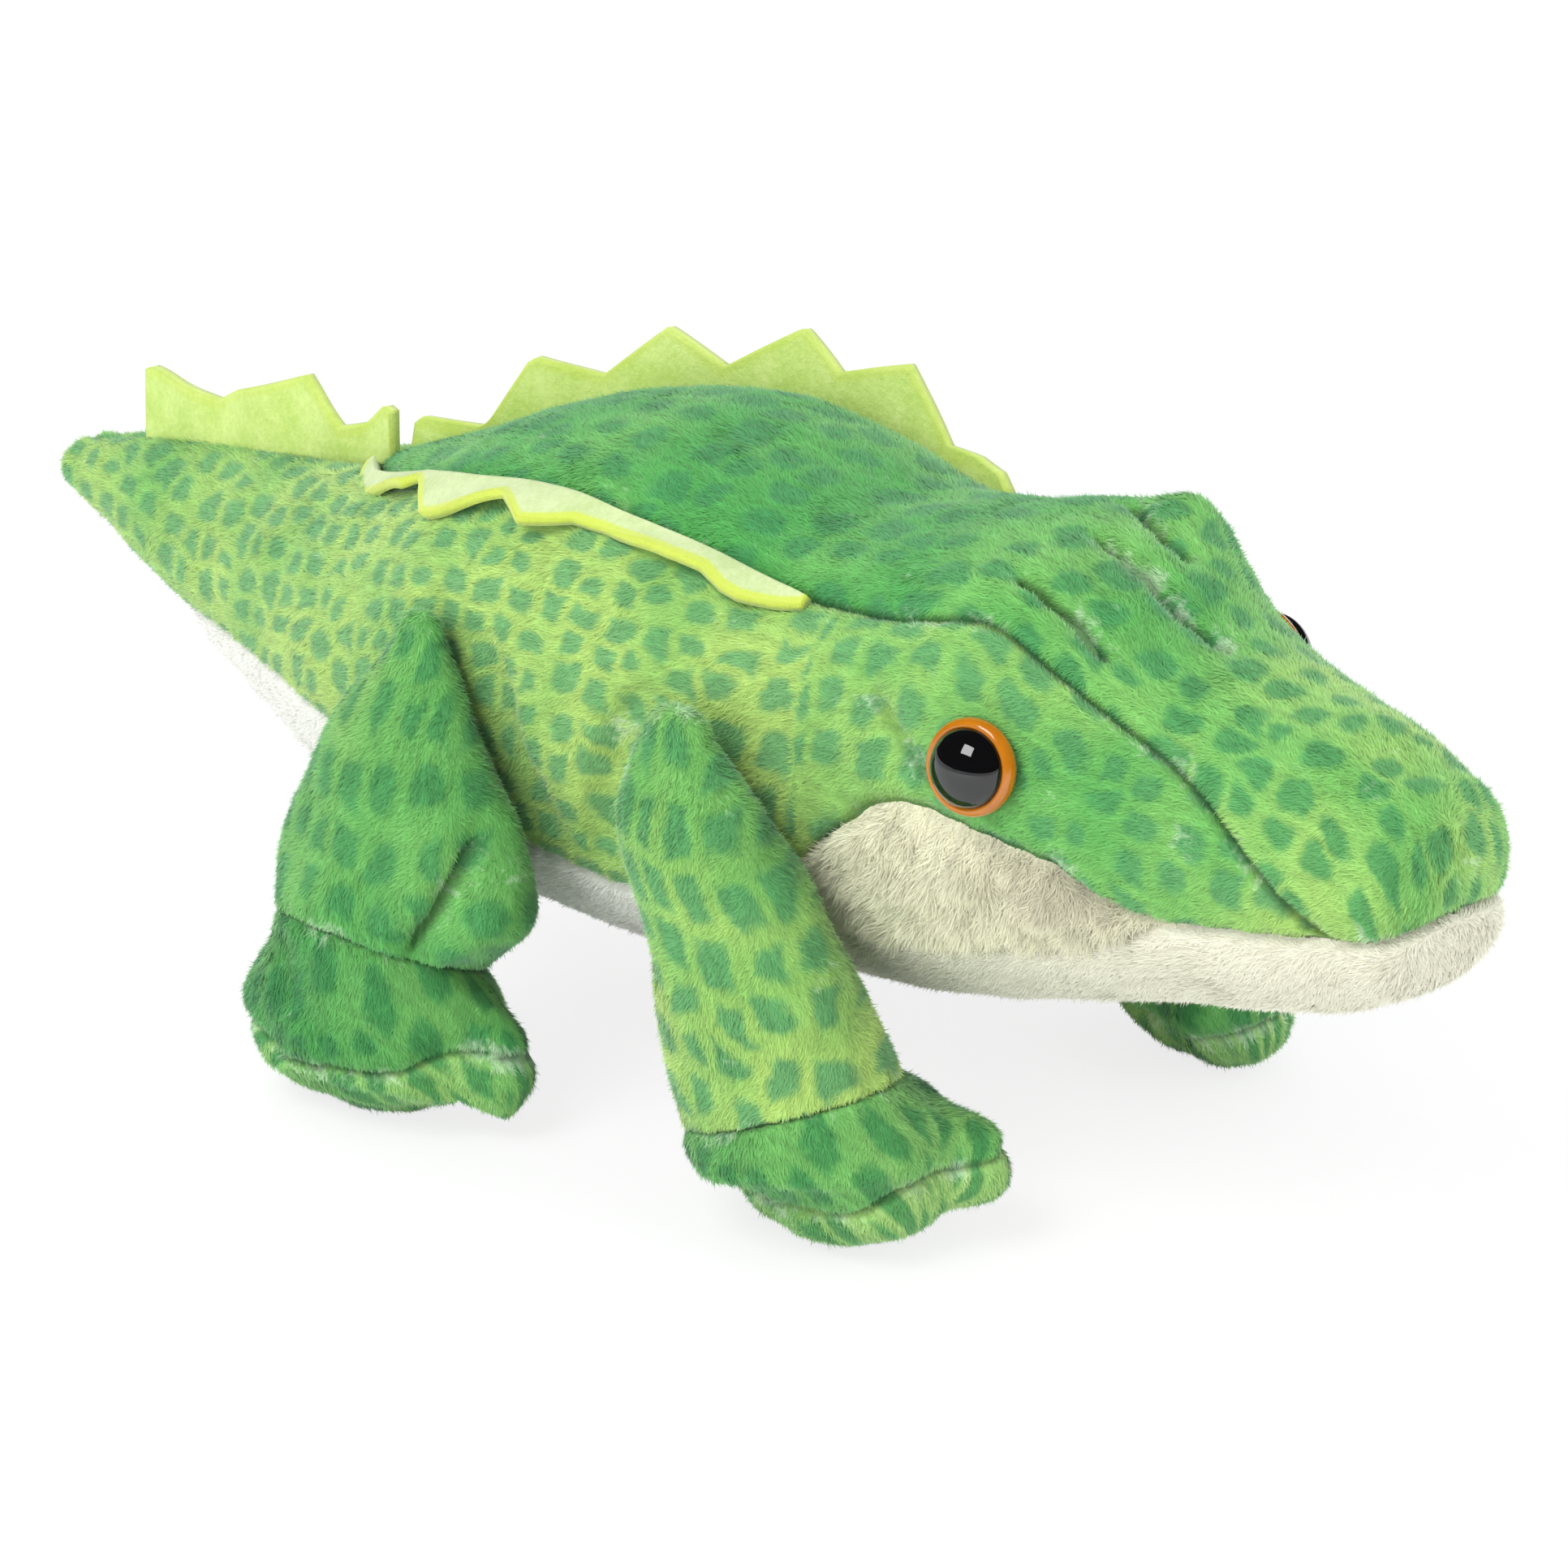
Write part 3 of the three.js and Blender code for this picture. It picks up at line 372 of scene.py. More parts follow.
def plush(name, bm, cloth, material, flow, length=1.35 * MM, density=13.0, seed=1, thickness=1.2 * MM,
          spread=0.35, lift=(0.15, 0.55), blade=0.22 * MM, clump=0.0, sort=False):
    """Finishes a skin, given as a bmesh with a UV map, as cloth with a thickness and its pile. The
    cloth's columns are its two ways, the distance from a seam, its tone and how bare it is. The
    density is in fibres to the square millimetre. Blender makes a sphere's faces in an order that
    varies, so they are sorted before the fibres are drawn."""
    bmesh.ops.triangulate(bm, faces=bm.faces[:])
    bm.normal_update()
    bm.verts.ensure_lookup_table()
    layer = bm.loops.layers.uv.verify()
    points = np.array([v.co[:] for v in bm.verts])
    normals = np.array([v.normal[:] for v in bm.verts])
    faces = np.array([[v.index for v in f.verts] for f in bm.faces])
    flat_uv = np.array([[loop[layer].uv[:] for loop in f.loops] for f in bm.faces])
    if sort:
        corner = (faces.argmin(1)[:, None] + np.arange(3)) % 3
        faces = np.take_along_axis(faces, corner, 1)
        order = np.lexsort(faces.T)
        faces, flat_uv = faces[order], np.take_along_axis(flat_uv, corner[:, :, None], 1)[order]
    # On the map the pile's side takes the upper 93% and the lining the strip below it
    uv = flat_uv * np.array([0.998, 0.928]) + np.array([0.001, 0.071])
    cloth = np.concatenate([cloth, np.full((len(points), 1), 0.5), np.zeros((len(points), 1))], 1)
    parts = [(points, normals, faces, cloth, uv)]
    parts.append(pile(*parts[0], flow, length, density, seed, spread, lift, blade, clump))
    if thickness:
        rim = [[*(v.index for v in e.verts), e.link_faces[0].index] for e in bm.edges if e.is_boundary]
        strips = []
        for a, b, f in rim:
            order = list(faces[f])
            if order[(order.index(a) + 1) % 3] != b:
                a, b = b, a
            strips += [[b, a, a + len(points)], [b, a + len(points), b + len(points)]]
        wall = np.concatenate([faces[:, ::-1] + len(points), np.array(strips)])
        under_uv = flat_uv[:, ::-1]
        wall_uv = np.concatenate([under_uv, np.repeat(under_uv[[f for _, _, f in rim]], 2, 0)])
        wall_points = np.concatenate([points, points - normals * thickness])
        parts.append((wall_points, np.concatenate([normals, -normals]), wall, np.tile(cloth, (2, 1)),
                      wall_uv * np.array([0.998, 0.06]) + 0.001))
    bm.free()
    places, ways, _, values, spots = (np.concatenate(kind).astype(np.float32) for kind in zip(*parts))
    offsets = np.cumsum([0] + [len(part[0]) for part in parts])
    all_faces = np.concatenate([part[2] + o for part, o in zip(parts, offsets)]).astype(np.int32)
    mesh = bpy.data.meshes.new(name)
    mesh.vertices.add(len(places))
    mesh.vertices.foreach_set("co", places.ravel())
    mesh.loops.add(all_faces.size)
    mesh.loops.foreach_set("vertex_index", all_faces.ravel())
    mesh.polygons.add(len(all_faces))
    mesh.polygons.foreach_set("loop_start", np.arange(0, all_faces.size, 3, dtype=np.int32))
    mesh.update(calc_edges=True)
    for key, kind, field, columns in (
        ("cloth", "FLOAT_VECTOR", "vector", [0, 1, 2]),
        ("strand", "FLOAT_VECTOR", "vector", [5, 6, 3]),
        ("bare", "FLOAT", "value", [4]),
    ):
        chosen = np.ascontiguousarray(values[:, columns])
        mesh.attributes.new(key, kind, "POINT").data.foreach_set(field, chosen.ravel())
    mesh.uv_layers.new(name="OFBake").uv.foreach_set("vector", spots.ravel())
    mesh.shade_smooth()
    mesh.normals_split_custom_set_from_vertices(ways)
    mesh.materials.append(material)
    piece = bpy.data.objects.new(name, mesh)
    scene.collection.objects.link(piece)
    return piece


def skin_panel(places, edges, columns, pitches=((-170, 6.4), (170, 6.4)), tone=None, creases=(),
               patches=(), ends=(False, False), stitched=1.0):
    """A piece of cloth on the body between two seams, as a bmesh, with its cloth coordinates. The
    pitches are the print's step along the body, and the creases are pulled in by a thread."""
    bm = bmesh.new()
    bmesh.ops.create_grid(bm, x_segments=columns, y_segments=len(places) - 1, size=0.5, calc_uvs=True)
    bm.verts.ensure_lookup_table()
    flat = np.array([v.co[:2] for v in bm.verts]) + 0.5
    across = flat[:, 0] - 0.10 * np.sin(2 * math.pi * flat[:, 0])
    place = np.interp(flat[:, 1], np.linspace(0, 1, len(places)), places)
    start, end = edges(place)
    turn = start + (end - start) * across
    ring = body_rings(place)
    half_girth = math.pi / 2 * (ring["half"] + (ring["above"] + ring["below"]) / 2)
    points = skin(place, turn)
    along = skin(place + 0.02, turn) - skin(place - 0.02, turn)
    round_way = skin(place, turn + 0.01) - skin(place, turn - 0.01)
    normal = unit(np.cross(along, round_way), 1e-12)
    seam = np.minimum(across, 1 - across) * (end - start) * half_girth
    reach = ring["y"]
    if ends[0]:
        seam = np.minimum(seam, np.abs(reach - reach.max()))
    if ends[1]:
        seam = np.minimum(seam, np.abs(reach - reach.min()))
    dart = from_lines(points, creases)
    # The thread draws the edge in by 1.5 mm and the cloth round it by 0.7 mm, and a crease by more
    tuck = 1.5 * MM * bell(seam, 1.1 * MM) + 0.7 * MM * bell(seam, 4.5 * MM)
    fold = 2.4 * MM * bell(dart, 1.1 * MM) * stitched + 1.1 * MM * bell(dart, 3.5 * MM)
    tuck = np.maximum(tuck, fold)
    # A crease counts as a seam for the colour: it takes the painted shade of a seam's edge and its pale
    # flecks, the shade fainter where it is less stitched
    seam = np.minimum(seam, np.maximum(dart - 0.6 * MM, (1 - stitched) * 1.3 * MM))
    # The stuffing holds the tail's narrow tip out
    tuck *= 1 - 0.65 * bell(reach - 148 * MM, 9 * MM)
    # Puckers come about every 5 mm along a seam
    ripple = np.sin(reach * 2 * math.pi / (5.2 * MM) + 3 * soft_noise(points, 30 * MM, 5))
    pucker = 0.22 * MM * np.exp(-seam / (3.0 * MM)) * ripple
    lumps = 0.5 * soft_noise(points, 38 * MM, 6) + 0.22 * soft_noise(points, 13 * MM, 7)
    lumps = lumps * MM * smooth(seam, 0, 8 * MM)
    move_verts(bm, points - normal * (pile_depth + tuck + pucker - lumps)[:, None])
    bm.normal_update()
    if sum(v.normal.dot(Vector(n)) for v, n in zip(bm.verts, normal)) < 0:
        bmesh.ops.reverse_faces(bm, faces=bm.faces[:])
    # The print's steps follow the surface along the cloth
    scale = 6.4 / np.interp(reach / MM, *np.array(pitches).T)
    order = np.lexsort((flat[:, 0], flat[:, 1])).reshape(len(places), columns + 1)
    steps = np.linalg.norm(np.diff(points[order], axis=0), axis=2) / MM
    steps = steps * (scale[order][1:] + scale[order][:-1]) / 2
    walked = np.concatenate([np.zeros((1, 1)), np.cumsum(steps.mean(1, keepdims=True), 0)])
    walked -= walked[len(places) // 2]
    along_cloth = np.zeros(len(points))
    along_cloth[order] = walked
    tones = tone(points) if tone else np.zeros(len(points))
    across_cloth = (turn - ((start + end) / 2).mean()) * half_girth / MM * scale + 40
    cloth = np.stack([along_cloth, across_cloth, seam / MM, tones, bare_patches(points, patches)], 1)
    return bm, cloth


def plush_print(name, ground, spots, size=(7.2, 5.9), shape=3.0, strength=0.9, worn=0.55, gap=0.15,
                radii=(0.28, 0.48)):
    """Polyester pile cloth, dyed, printed with rounded spots and brushed: matt, with a soft sheen at
    a slant. The cloth's coordinates are millimetres, so a noise scale of 0.13 bends the rows of spots
    over 8 mm, 0.8 frays their edges over 1.2 mm and 0.05 clouds the dye over 20 mm. The size of a
    spot's cell is in millimetres, and its gap and radii are shares of that."""
    material, tree = blank(name)
    cloth = add(tree, "Attribute", attribute_name="cloth").outputs["Vector"]
    strand = add(tree, "Attribute", attribute_name="strand").outputs["Vector"]
    bare = add(tree, "Attribute", attribute_name="bare").outputs["Fac"]
    luck, tip, depth_of_dye = add(tree, "SeparateXYZ", strand).outputs
    seam = add(tree, "SeparateXYZ", cloth).outputs[2]
    wander = add(tree, "TexNoise", {"Vector": cloth, "Scale": 0.13, "Detail": 1.0}, noise_dimensions="2D")
    shift = add(tree, "VectorMath", wander.outputs["Color"], (0.5, 0.5, 0.5), operation="SUBTRACT")
    shift = add(tree, "VectorMath", shift, (3.6, 3.6, 0.0), operation="MULTIPLY")
    moved = add(tree, "VectorMath", cloth, shift, operation="ADD")
    ragged = add(tree, "TexNoise", {"Vector": cloth, "Scale": 0.8, "Detail": 2.0}, noise_dimensions="2D")
    ragged = add(tree, "VectorMath", ragged.outputs["Color"], (1.1, 0.9, 0.0), operation="MULTIPLY")
    moved = add(tree, "VectorMath", moved, ragged, operation="ADD")
    scaled = add(tree, "VectorMath", moved, (1 / size[0], 1 / size[1], 0.0), operation="MULTIPLY")
    cells = {"Vector": scaled, "Scale": 1.0, "Randomness": 0.55}
    cell = add(tree, "TexVoronoi", {**cells, "Exponent": shape}, voronoi_dimensions="2D", feature="F1",
               distance="MINKOWSKI")
    border = add(tree, "TexVoronoi", cells, voronoi_dimensions="2D", feature="DISTANCE_TO_EDGE")
    chance = add(tree, "SeparateColor", cell.outputs["Color"])
    radius = add(tree, "MapRange", chance, {"To Min": radii[0], "To Max": radii[1]})
    edge = add(tree, "Math", radius, cell.outputs["Distance"], operation="SUBTRACT")
    between = add(tree, "Math", border.outputs["Distance"], gap, operation="SUBTRACT")
    both = add(tree, "Math", edge, between, 0.10, operation="SMOOTH_MIN")
    mask = add(tree, "MapRange", both, -0.11, 0.10, 0.0, strength, interpolation_type="SMOOTHSTEP")
    cloud = add(tree, "TexNoise", {"Vector": cloth, "Scale": 0.05, "Detail": 2.0}, noise_dimensions="2D")
    drift = add(tree, "MapRange", cloud, 0.3, 0.7, -0.17, 0.21)
    tone = add(tree, "Math", depth_of_dye, drift, operation="ADD", use_clamp=True)
    dye = add(tree, "ValToRGB", tone)
    dye.color_ramp.elements.new(0.5)
    for stop, colour in zip(dye.color_ramp.elements, ground):
        stop.color = linear(colour)
    dots = add(tree, "Mix", {"Factor": tone, "A": linear(spots[0]), "B": linear(spots[1])}, data_type="RGBA")
    dyed = add(tree, "Mix", {"Factor": mask, "A": dye, "B": dots}, data_type="RGBA")
    # Fibres differ a little in shade and lie in streaks, and painted shade darkens the colour towards the
    # roots and on the skin under the pile. A fibre of 0.02 mm is too fine to show, so the streaks are tufts
    # 1.3 mm wide and 5 mm long
    streaks = add(tree, "VectorMath", cloth, (0.20, 0.75, 0.0), operation="MULTIPLY")
    nap = add(tree, "TexNoise", {"Vector": streaks, "Scale": 1.0, "Detail": 3.0, "Roughness": 0.6},
              noise_dimensions="2D")
    value = add(tree, "MapRange", nap, 0.3, 0.7, 0.88, 1.10)
    for factor in (add(tree, "MapRange", luck, {"To Min": 0.90, "To Max": 1.08}),
                   add(tree, "MapRange", tip, {"To Min": 0.86, "To Max": 1.06})):
        value = add(tree, "Math", value, factor, operation="MULTIPLY")
    # Along a seam the pile is parted, so its pale backing shows in flecks of 1.3 mm
    near = add(tree, "MapRange", seam, 1.2, 3.0, 0.24, 0.0)
    speck = add(tree, "TexNoise", {"Vector": cloth, "Scale": 0.75, "Detail": 3.0, "Roughness": 0.65},
                noise_dimensions="2D")
    patch = add(tree, "TexNoise", {"Vector": cloth, "Scale": 0.11, "Detail": 1.0}, noise_dimensions="2D")
    for more in (patch, add(tree, "Math", near, bare, operation="ADD")):
        speck = add(tree, "Math", speck, more, operation="ADD")
    speck = add(tree, "MapRange", speck, 1.33, 1.62, 0.0, worn)
    faded = add(tree, "Mix", {"Factor": speck, "A": dyed, "B": linear("#d3ecc8")}, data_type="RGBA")
    # Painted shade: the thread has drawn the very edge down into the seam, and the colour is darkened there
    # for the seam's shadow
    depth = add(tree, "MapRange", seam, 0.25, 1.0, 0.42, 1.0)
    value = add(tree, "Math", value, depth, operation="MULTIPLY")
    final = add(tree, "VectorMath", faded, {"Scale": value}, operation="SCALE")
    surface = add(tree, "BsdfPrincipled", {"Base Color": final, "Roughness": 0.85, "Specular IOR Level": 0.2,
                                           "Sheen Weight": 0.25, "Sheen Roughness": 0.5})
    add(tree, "OutputMaterial", surface)
    return material


lime_dye = ("#b1d573", "#7fc166", "#5bb25b")
side_print = plush_print("lime_printed_plush", lime_dye, ("#70b072", "#4a9b59"))
panel_pile = {"density": 11.2, "blade": 0.235 * MM}
cheek_span = place_of(np.array([-0.178, -0.397]) * body_size[1])
side_places = np.concatenate([np.linspace(-0.985, 9.4, 140), np.linspace(9.46, last_ring - 0.01, 115)])
side_pitches = ((-150, 6.6), (-104, 6.4), (-84, 7.0), (-62, 7.6), (-40, 7.0), (-22, 6.0), (8, 5.8),
                (40, 6.6), (70, 6.8), (110, 7.0), (150, 6.6))
# The dart that is stitched behind each eye, and where the pile of the near side is parted
eye_dart = ((-32.3, -66.2, 78.6), (-33.2, -70.3, 75.6), (-33.6, -74.5, 72.5), (-33.6, -78.4, 69.1))
side_patches = ((-27, -79, 89, 3.5, 0.20), (-27, -68, 87, 3, 0.18), (-27.5, -54, 84, 3, 0.24),
                (-21, -100, 83, 3, 0.10), (-37, -23, 55, 4, 0.36), (-37, -23, 64, 3, 0.36),
                (-34, -77, 71, 3.5, 0.22))


def cheek_top(place, belly):
    """The upper edge of a cheek patch, where it lies between the side panel and the belly's seam."""
    along = np.clip((place - cheek_span[0]) / (cheek_span[1] - cheek_span[0]), 0, 1)
    full = np.sqrt(np.maximum(np.sin(math.pi * along ** 0.6), 0))
    return belly - 0.185 * full * smooth(1 - along, 0, 0.35)


def side_tone(points):
    """Greener along the back, round the eye and on top of the tail, lime elsewhere."""
    x, y, z = points.T / MM
    eye = bell(y + 97, 24) * bell(z - 73, 14)
    brow = bell(y + 62, 26) * bell(z - 86, 7)
    tail = 0.15 * smooth(y, 40, 90) + smooth(y, 60, 110) * smooth(z, 50, 68) * 0.45
    snout = smooth(-y, 100, 122)
    return np.clip(0.04 + 0.74 * eye + 0.40 * brow + 0.5 * tail + 0.20 * snout, 0, 1)


# The nap runs back and a little down.
backwards = (0.0, 1.0, -0.45)
for side, hand in ((-1, "right"), (1, "left")):
    def side_edges(place, side=side):
        ring = body_rings(place)
        top, low = ring["seams"][:, 1], cheek_top(place, ring["seams"][:, 2])
        return (top, low) if side > 0 else (-low, -top - sag(ring["y"]))
    mirror = np.array([-side, 1, 1])
    dart, patches = np.array(eye_dart) * mirror, [(-side * x, *rest) for x, *rest in side_patches]
    bm, cloth = skin_panel(side_places, side_edges, 62, side_pitches, side_tone, [dart], patches,
                           stitched=0.45)
    panel = plush(f"side_{hand}", bm, cloth, side_print, backwards, seed=11 + side, **panel_pile)
    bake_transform(panel)
    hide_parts(f"side_panel_{hand}", f"tail_side_{hand}")

# Back panel: a darker green piece of the same plush, widest over the hump and the brows, that runs
# from a point on the tail to the tip of the snout.
back_print = plush_print("dark_green_plush", ("#b6da78", "#83c669", "#54ab55"), ("#5aa866", "#459658"),
                         size=(7.4, 6.2), shape=2.2, strength=0.85, gap=0.08, radii=(0.25, 0.44))
top_start = place_of(np.array([0.225]) * body_size[1])[0]


def back_edges(place):
    ring = body_rings(place)
    return -ring["seams"][:, 1] - sag(ring["y"]), ring["seams"][:, 1]


def back_tone(points):
    """Deep green on the hump and the head, lime on the snout."""
    x, y, z = points.T / MM
    return np.clip(0.94 - 0.20 * smooth(-y, 60, 84) - 0.42 * smooth(-y, 90, 116), 0, 1)


# The stitched folds of the brows: one over each eye and one between them with parted pile
brow_folds = (
    ((-17.7, -81.4, 96.3), (-17.4, -83.8, 95.8), (-17.5, -87.9, 94.1), (-16.5, -91.5, 91.8),
     (-16.7, -96.2, 88.7)),
    ((-0.4, -80.0, 97.7), (-1.0, -86.1, 96.2), (-0.9, -90.6, 94.0), (-1.4, -96.1, 91.0), (-0.6, -98.4, 89.7),
     (0.0, -103.3, 87.7)),
    ((13.3, -73.6, 97.5), (10.0, -80.0, 97.5), (8.5, -85.4, 96.3), (8.6, -88.8, 94.6)),
)
brow_patches = ((0.6, -81.5, 97.5, 1.4, 0.42), (0.6, -86, 96.2, 1.4, 0.40), (0.6, -90.6, 94.2, 1.4, 0.42),
                (0, -96.5, 91, 1.3, 0.40), (0.5, -103, 87.7, 1.4, 0.42), (-1, -110, 85, 1.4, 0.38),
                (2.7, -112, 84.5, 1.4, 0.34), (-27, -79, 90, 3, 0.18), (-22, -97, 84.4, 2.5, 0.16),
                (2.8, -137, 77, 3, 0.16))
back_places = np.concatenate([np.linspace(top_start, 9.4, 110), np.linspace(9.45, last_ring + 0.985, 160)])
back_pitches = ((-150, 6.4), (-100, 6.6), (-80, 8.2), (20, 8.0), (70, 7.0))
bm, cloth = skin_panel(back_places, back_edges, 72, back_pitches, back_tone, brow_folds, brow_patches)
back = plush("back", bm, cloth, back_print, backwards, seed=21, **panel_pile)
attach(back, "trunk")
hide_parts("back_panel")

# Belly and jaw: off-white plush under the trunk and tail, and a cream piece from the throat to the
# mouth, sewn to each other across the throat.
def cream_plush(name, light, shade, fleck, streak=(0.16, 0.9)):
    """Undyed polyester pile cloth: matt cream, with painted shade a little darker at the root and soft
    grey painted shade where the nap turns, in streaks about 6 mm long and 1.1 mm wide."""
    material, tree = blank(name)
    cloth = add(tree, "Attribute", attribute_name="cloth").outputs["Vector"]
    strand = add(tree, "Attribute", attribute_name="strand").outputs["Vector"]
    luck, tip, tone = add(tree, "SeparateXYZ", strand).outputs
    long_way = add(tree, "VectorMath", cloth, (*streak, 0.0), operation="MULTIPLY")
    nap = add(tree, "TexNoise", {"Vector": long_way, "Scale": 1.0, "Detail": 3.0}, noise_dimensions="2D")
    drift = add(tree, "MapRange", nap, 0.45, 0.75, 0.0, 0.45)
    amount = add(tree, "Math", tone, drift, operation="ADD", use_clamp=True)
    mixed = add(tree, "Mix", {"Factor": amount, "A": linear(light), "B": linear(shade)}, data_type="RGBA")
    # Painted shade: darker towards the roots and on the skin under the pile
    low = add(tree, "MapRange", tip, {"To Min": 0.80, "To Max": 1.0})
    value = add(tree, "MapRange", luck, {"To Min": fleck, "To Max": 1.03})
    value = add(tree, "Math", low, value, operation="MULTIPLY")
    final = add(tree, "VectorMath", mixed, {"Scale": value}, operation="SCALE")
    surface = add(tree, "BsdfPrincipled", {"Base Color": final, "Roughness": 0.9, "Specular IOR Level": 0.15,
                                           "Sheen Weight": 0.2, "Sheen Roughness": 0.5})
    add(tree, "OutputMaterial", surface)
    return material


belly_white = cream_plush("off_white_plush", "#fbfbf3", "#eaebde", 0.95)
jaw_cream = cream_plush("cream_plush", "#f3f1dc", "#dcd9bf", 0.94)
throat = place_of(np.array([-0.160]) * body_size[1])[0]


def belly_edges(place):
    seam = body_rings(place)["seams"][:, 2]
    return seam, 2 - seam


bm, cloth = skin_panel(np.linspace(1.0, throat, 130), belly_edges, 46, ends=(False, True))
belly = plush("belly", bm, cloth, belly_white, backwards, density=7.0, seed=31)
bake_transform(belly)
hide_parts("belly_panel", "tail_belly_panel")
bm, cloth = skin_panel(np.linspace(throat, last_ring + 0.985, 120), belly_edges, 56, ends=(True, False))
jaw = plush("jaw", bm, cloth, jaw_cream, backwards, seed=32)
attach(jaw, "trunk")
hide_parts("jaw_panel")

# Stuffing: loose polyester fibre that fills the whole bag, 4 mm below the pile.
# Carded polyester: matt wisps 2.5 mm wide, coloured the green of the cloth that they are seen through and
# darkened as painted shade, for the shadow inside the bag
fibre, tree = blank("polyester_fibre_fill")
object_place = add(tree, "TexCoord").outputs["Object"]
wisps = add(tree, "TexNoise", {"Vector": object_place, "Scale": 400.0, "Detail": 4.0})
tint = add(tree, "Mix", {"Factor": wisps, "A": linear("#4f7a4a"), "B": linear("#6f9a62")}, data_type="RGBA")
add(tree, "OutputMaterial", add(tree, "BsdfPrincipled", {"Base Color": tint, "Roughness": 0.95}))
bm = bmesh.new()
bmesh.ops.create_uvsphere(bm, u_segments=48, v_segments=72, radius=1.0)
ball = np.array([v.co[:] for v in bm.verts])
place = -0.96 + (last_ring + 1.92) * (1 - np.arccos(ball[:, 2].clip(-1, 1)) / math.pi)
turn = np.arctan2(ball[:, 0], ball[:, 1]) / math.pi
stuffing_depth = 4.2 * MM
core = skin(place, turn)
ring = body_rings(place)
axis = np.stack([0 * ring["y"], ring["y"], ring["middle"]], 1)
away = core - axis
reach = np.linalg.norm(away, axis=1)
core = axis + away * (np.maximum(reach - stuffing_depth, 0.2 * reach) / (reach + 1e-9))[:, None]
tips = ring_shares[[-1, 0], 0] * body_size[1] + (5 * MM - snout_cap, tail_cap - 5 * MM)
core[:, 1] = np.clip(core[:, 1], *tips)
move_verts(bm, core)
bmesh.ops.recalc_face_normals(bm, faces=bm.faces[:])
stuffing = piece_from(bm, "stuffing", fibre)
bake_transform(stuffing)
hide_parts("trunk_stuffing", "head_stuffing", "tail_stuffing")

# Cheek patches: a lens of longer cream pile let in between each side panel and the jaw.
cheek_cream = cream_plush("long_cream_plush", "#fcfad9", "#cdc7ae", 0.88, (0.9, 0.35))


def cheek_painted_shade(points):
    """Painted shade: beige-grey along the upper front edge."""
    x, y, z = points.T / MM
    return 0.72 * bell(y + 100, 13) * bell(z - 57.5, 5)


for side, hand in ((-1, "right"), (1, "left")):
    def cheek_edges(place, side=side):
        seams = body_rings(place)["seams"]
        top, low = cheek_top(place, seams[:, 2]), seams[:, 2]
        return (top, low) if side > 0 else (-low, -top)
    cheek_places = cheek_span[0] + (cheek_span[1] - cheek_span[0]) * np.linspace(0.004, 0.996, 70)
    bm, cloth = skin_panel(cheek_places, cheek_edges, 26, tone=cheek_painted_shade)
    cheek = plush(f"cheek_{hand}", bm, cloth, cheek_cream, (0.0, 0.25, -1.0), 2.9 * MM, 20.0, 41 + side,
                  spread=0.5, lift=(0.2, 0.7), blade=0.2 * MM, clump=0.4)
    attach(cheek, "trunk")
    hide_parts(f"cheek_patch_{hand}")

# Crests: saw-toothed strips of 2 mm pressed felt, one up the tail and one in each back seam. The
# left one stands up and the right one has flopped over.
def pressed_felt(name, dark, light, edge_colour, edge_share):
    """Needled polyester felt, cut with a die: matt, with a mottle of 1.1 mm, which is as coarse as
    its fine fibres need to show, cloudier patches of 6 mm and a yellower cut edge."""
    material, tree = blank(name)
    object_place = add(tree, "TexCoord").outputs["Object"]
    fuzz = add(tree, "TexNoise", {"Vector": object_place, "Scale": 900.0, "Detail": 4.0, "Roughness": 0.7})
    blotch = add(tree, "TexNoise", {"Vector": object_place, "Scale": 160.0, "Detail": 2.0})
    mixed = add(tree, "Math", fuzz, blotch, operation="ADD")
    amount = add(tree, "MapRange", mixed, 0.75, 1.25)
    colour = add(tree, "Mix", {"Factor": amount, "A": linear(dark), "B": linear(light)}, data_type="RGBA")
    rim = add(tree, "Attribute", attribute_name="rim").outputs["Fac"]
    share = add(tree, "MapRange", rim, 1.0, 1.5, edge_share, 0.0)
    colour = add(tree, "Mix", {"Factor": share, "A": colour, "B": linear(edge_colour)}, data_type="RGBA")
    dents = add(tree, "Bump", {"Height": fuzz, "Strength": 0.6, "Distance": 0.0005})
    surface = add(tree, "BsdfPrincipled", {"Base Color": colour, "Roughness": 0.95, "Specular IOR Level": 0.1,
                                           "Sheen Weight": 0.3, "Normal": dents})
    add(tree, "OutputMaterial", surface)
    return material


felt_green = pressed_felt("pressed_felt", "#b1cc66", "#c9dc84", "#bccd54", 0.4)
felt_nap = pressed_felt("pressed_felt_napped_side", "#aec282", "#c5d39e", "#bfce40", 0.85)
# The cut line of each strip: shares of its length, from the rear, and of the tallest tooth
back_teeth = np.array([
    [0.000, 0.30], [0.012, 0.38], [0.097, 0.11], [0.107, 0.17], [0.155, 0.86], [0.168, 0.90], [0.271, 0.44],
    [0.360, 0.86], [0.369, 0.91], [0.469, 0.37], [0.586, 0.92], [0.592, 0.94], [0.663, 0.50], [0.785, 0.95],
    [0.869, 0.17], [0.930, 0.27], [0.980, 0.25], [1.000, 0.08],
])
flopped_teeth = np.array([
    [0.000, 0.14], [0.030, 0.30], [0.086, 0.34], [0.188, 0.33], [0.250, 0.36], [0.268, 0.18], [0.300, 0.30],
    [0.355, 0.68], [0.370, 0.66], [0.436, 0.53], [0.505, 0.40], [0.568, 0.74], [0.599, 0.56], [0.630, 0.36],
    [0.680, 0.30], [0.747, 0.36], [0.803, 0.38], [0.851, 0.32], [0.889, 0.42], [0.914, 0.42], [0.964, 0.28],
    [1.000, 0.12],
])
tail_teeth = np.array([
    [0.00, 0.88], [0.02, 0.90], [0.30, 0.50], [0.40, 0.70], [0.66, 1.00], [0.80, 0.36], [0.90, 0.42],
    [0.97, 0.62], [1.00, 0.54],
])
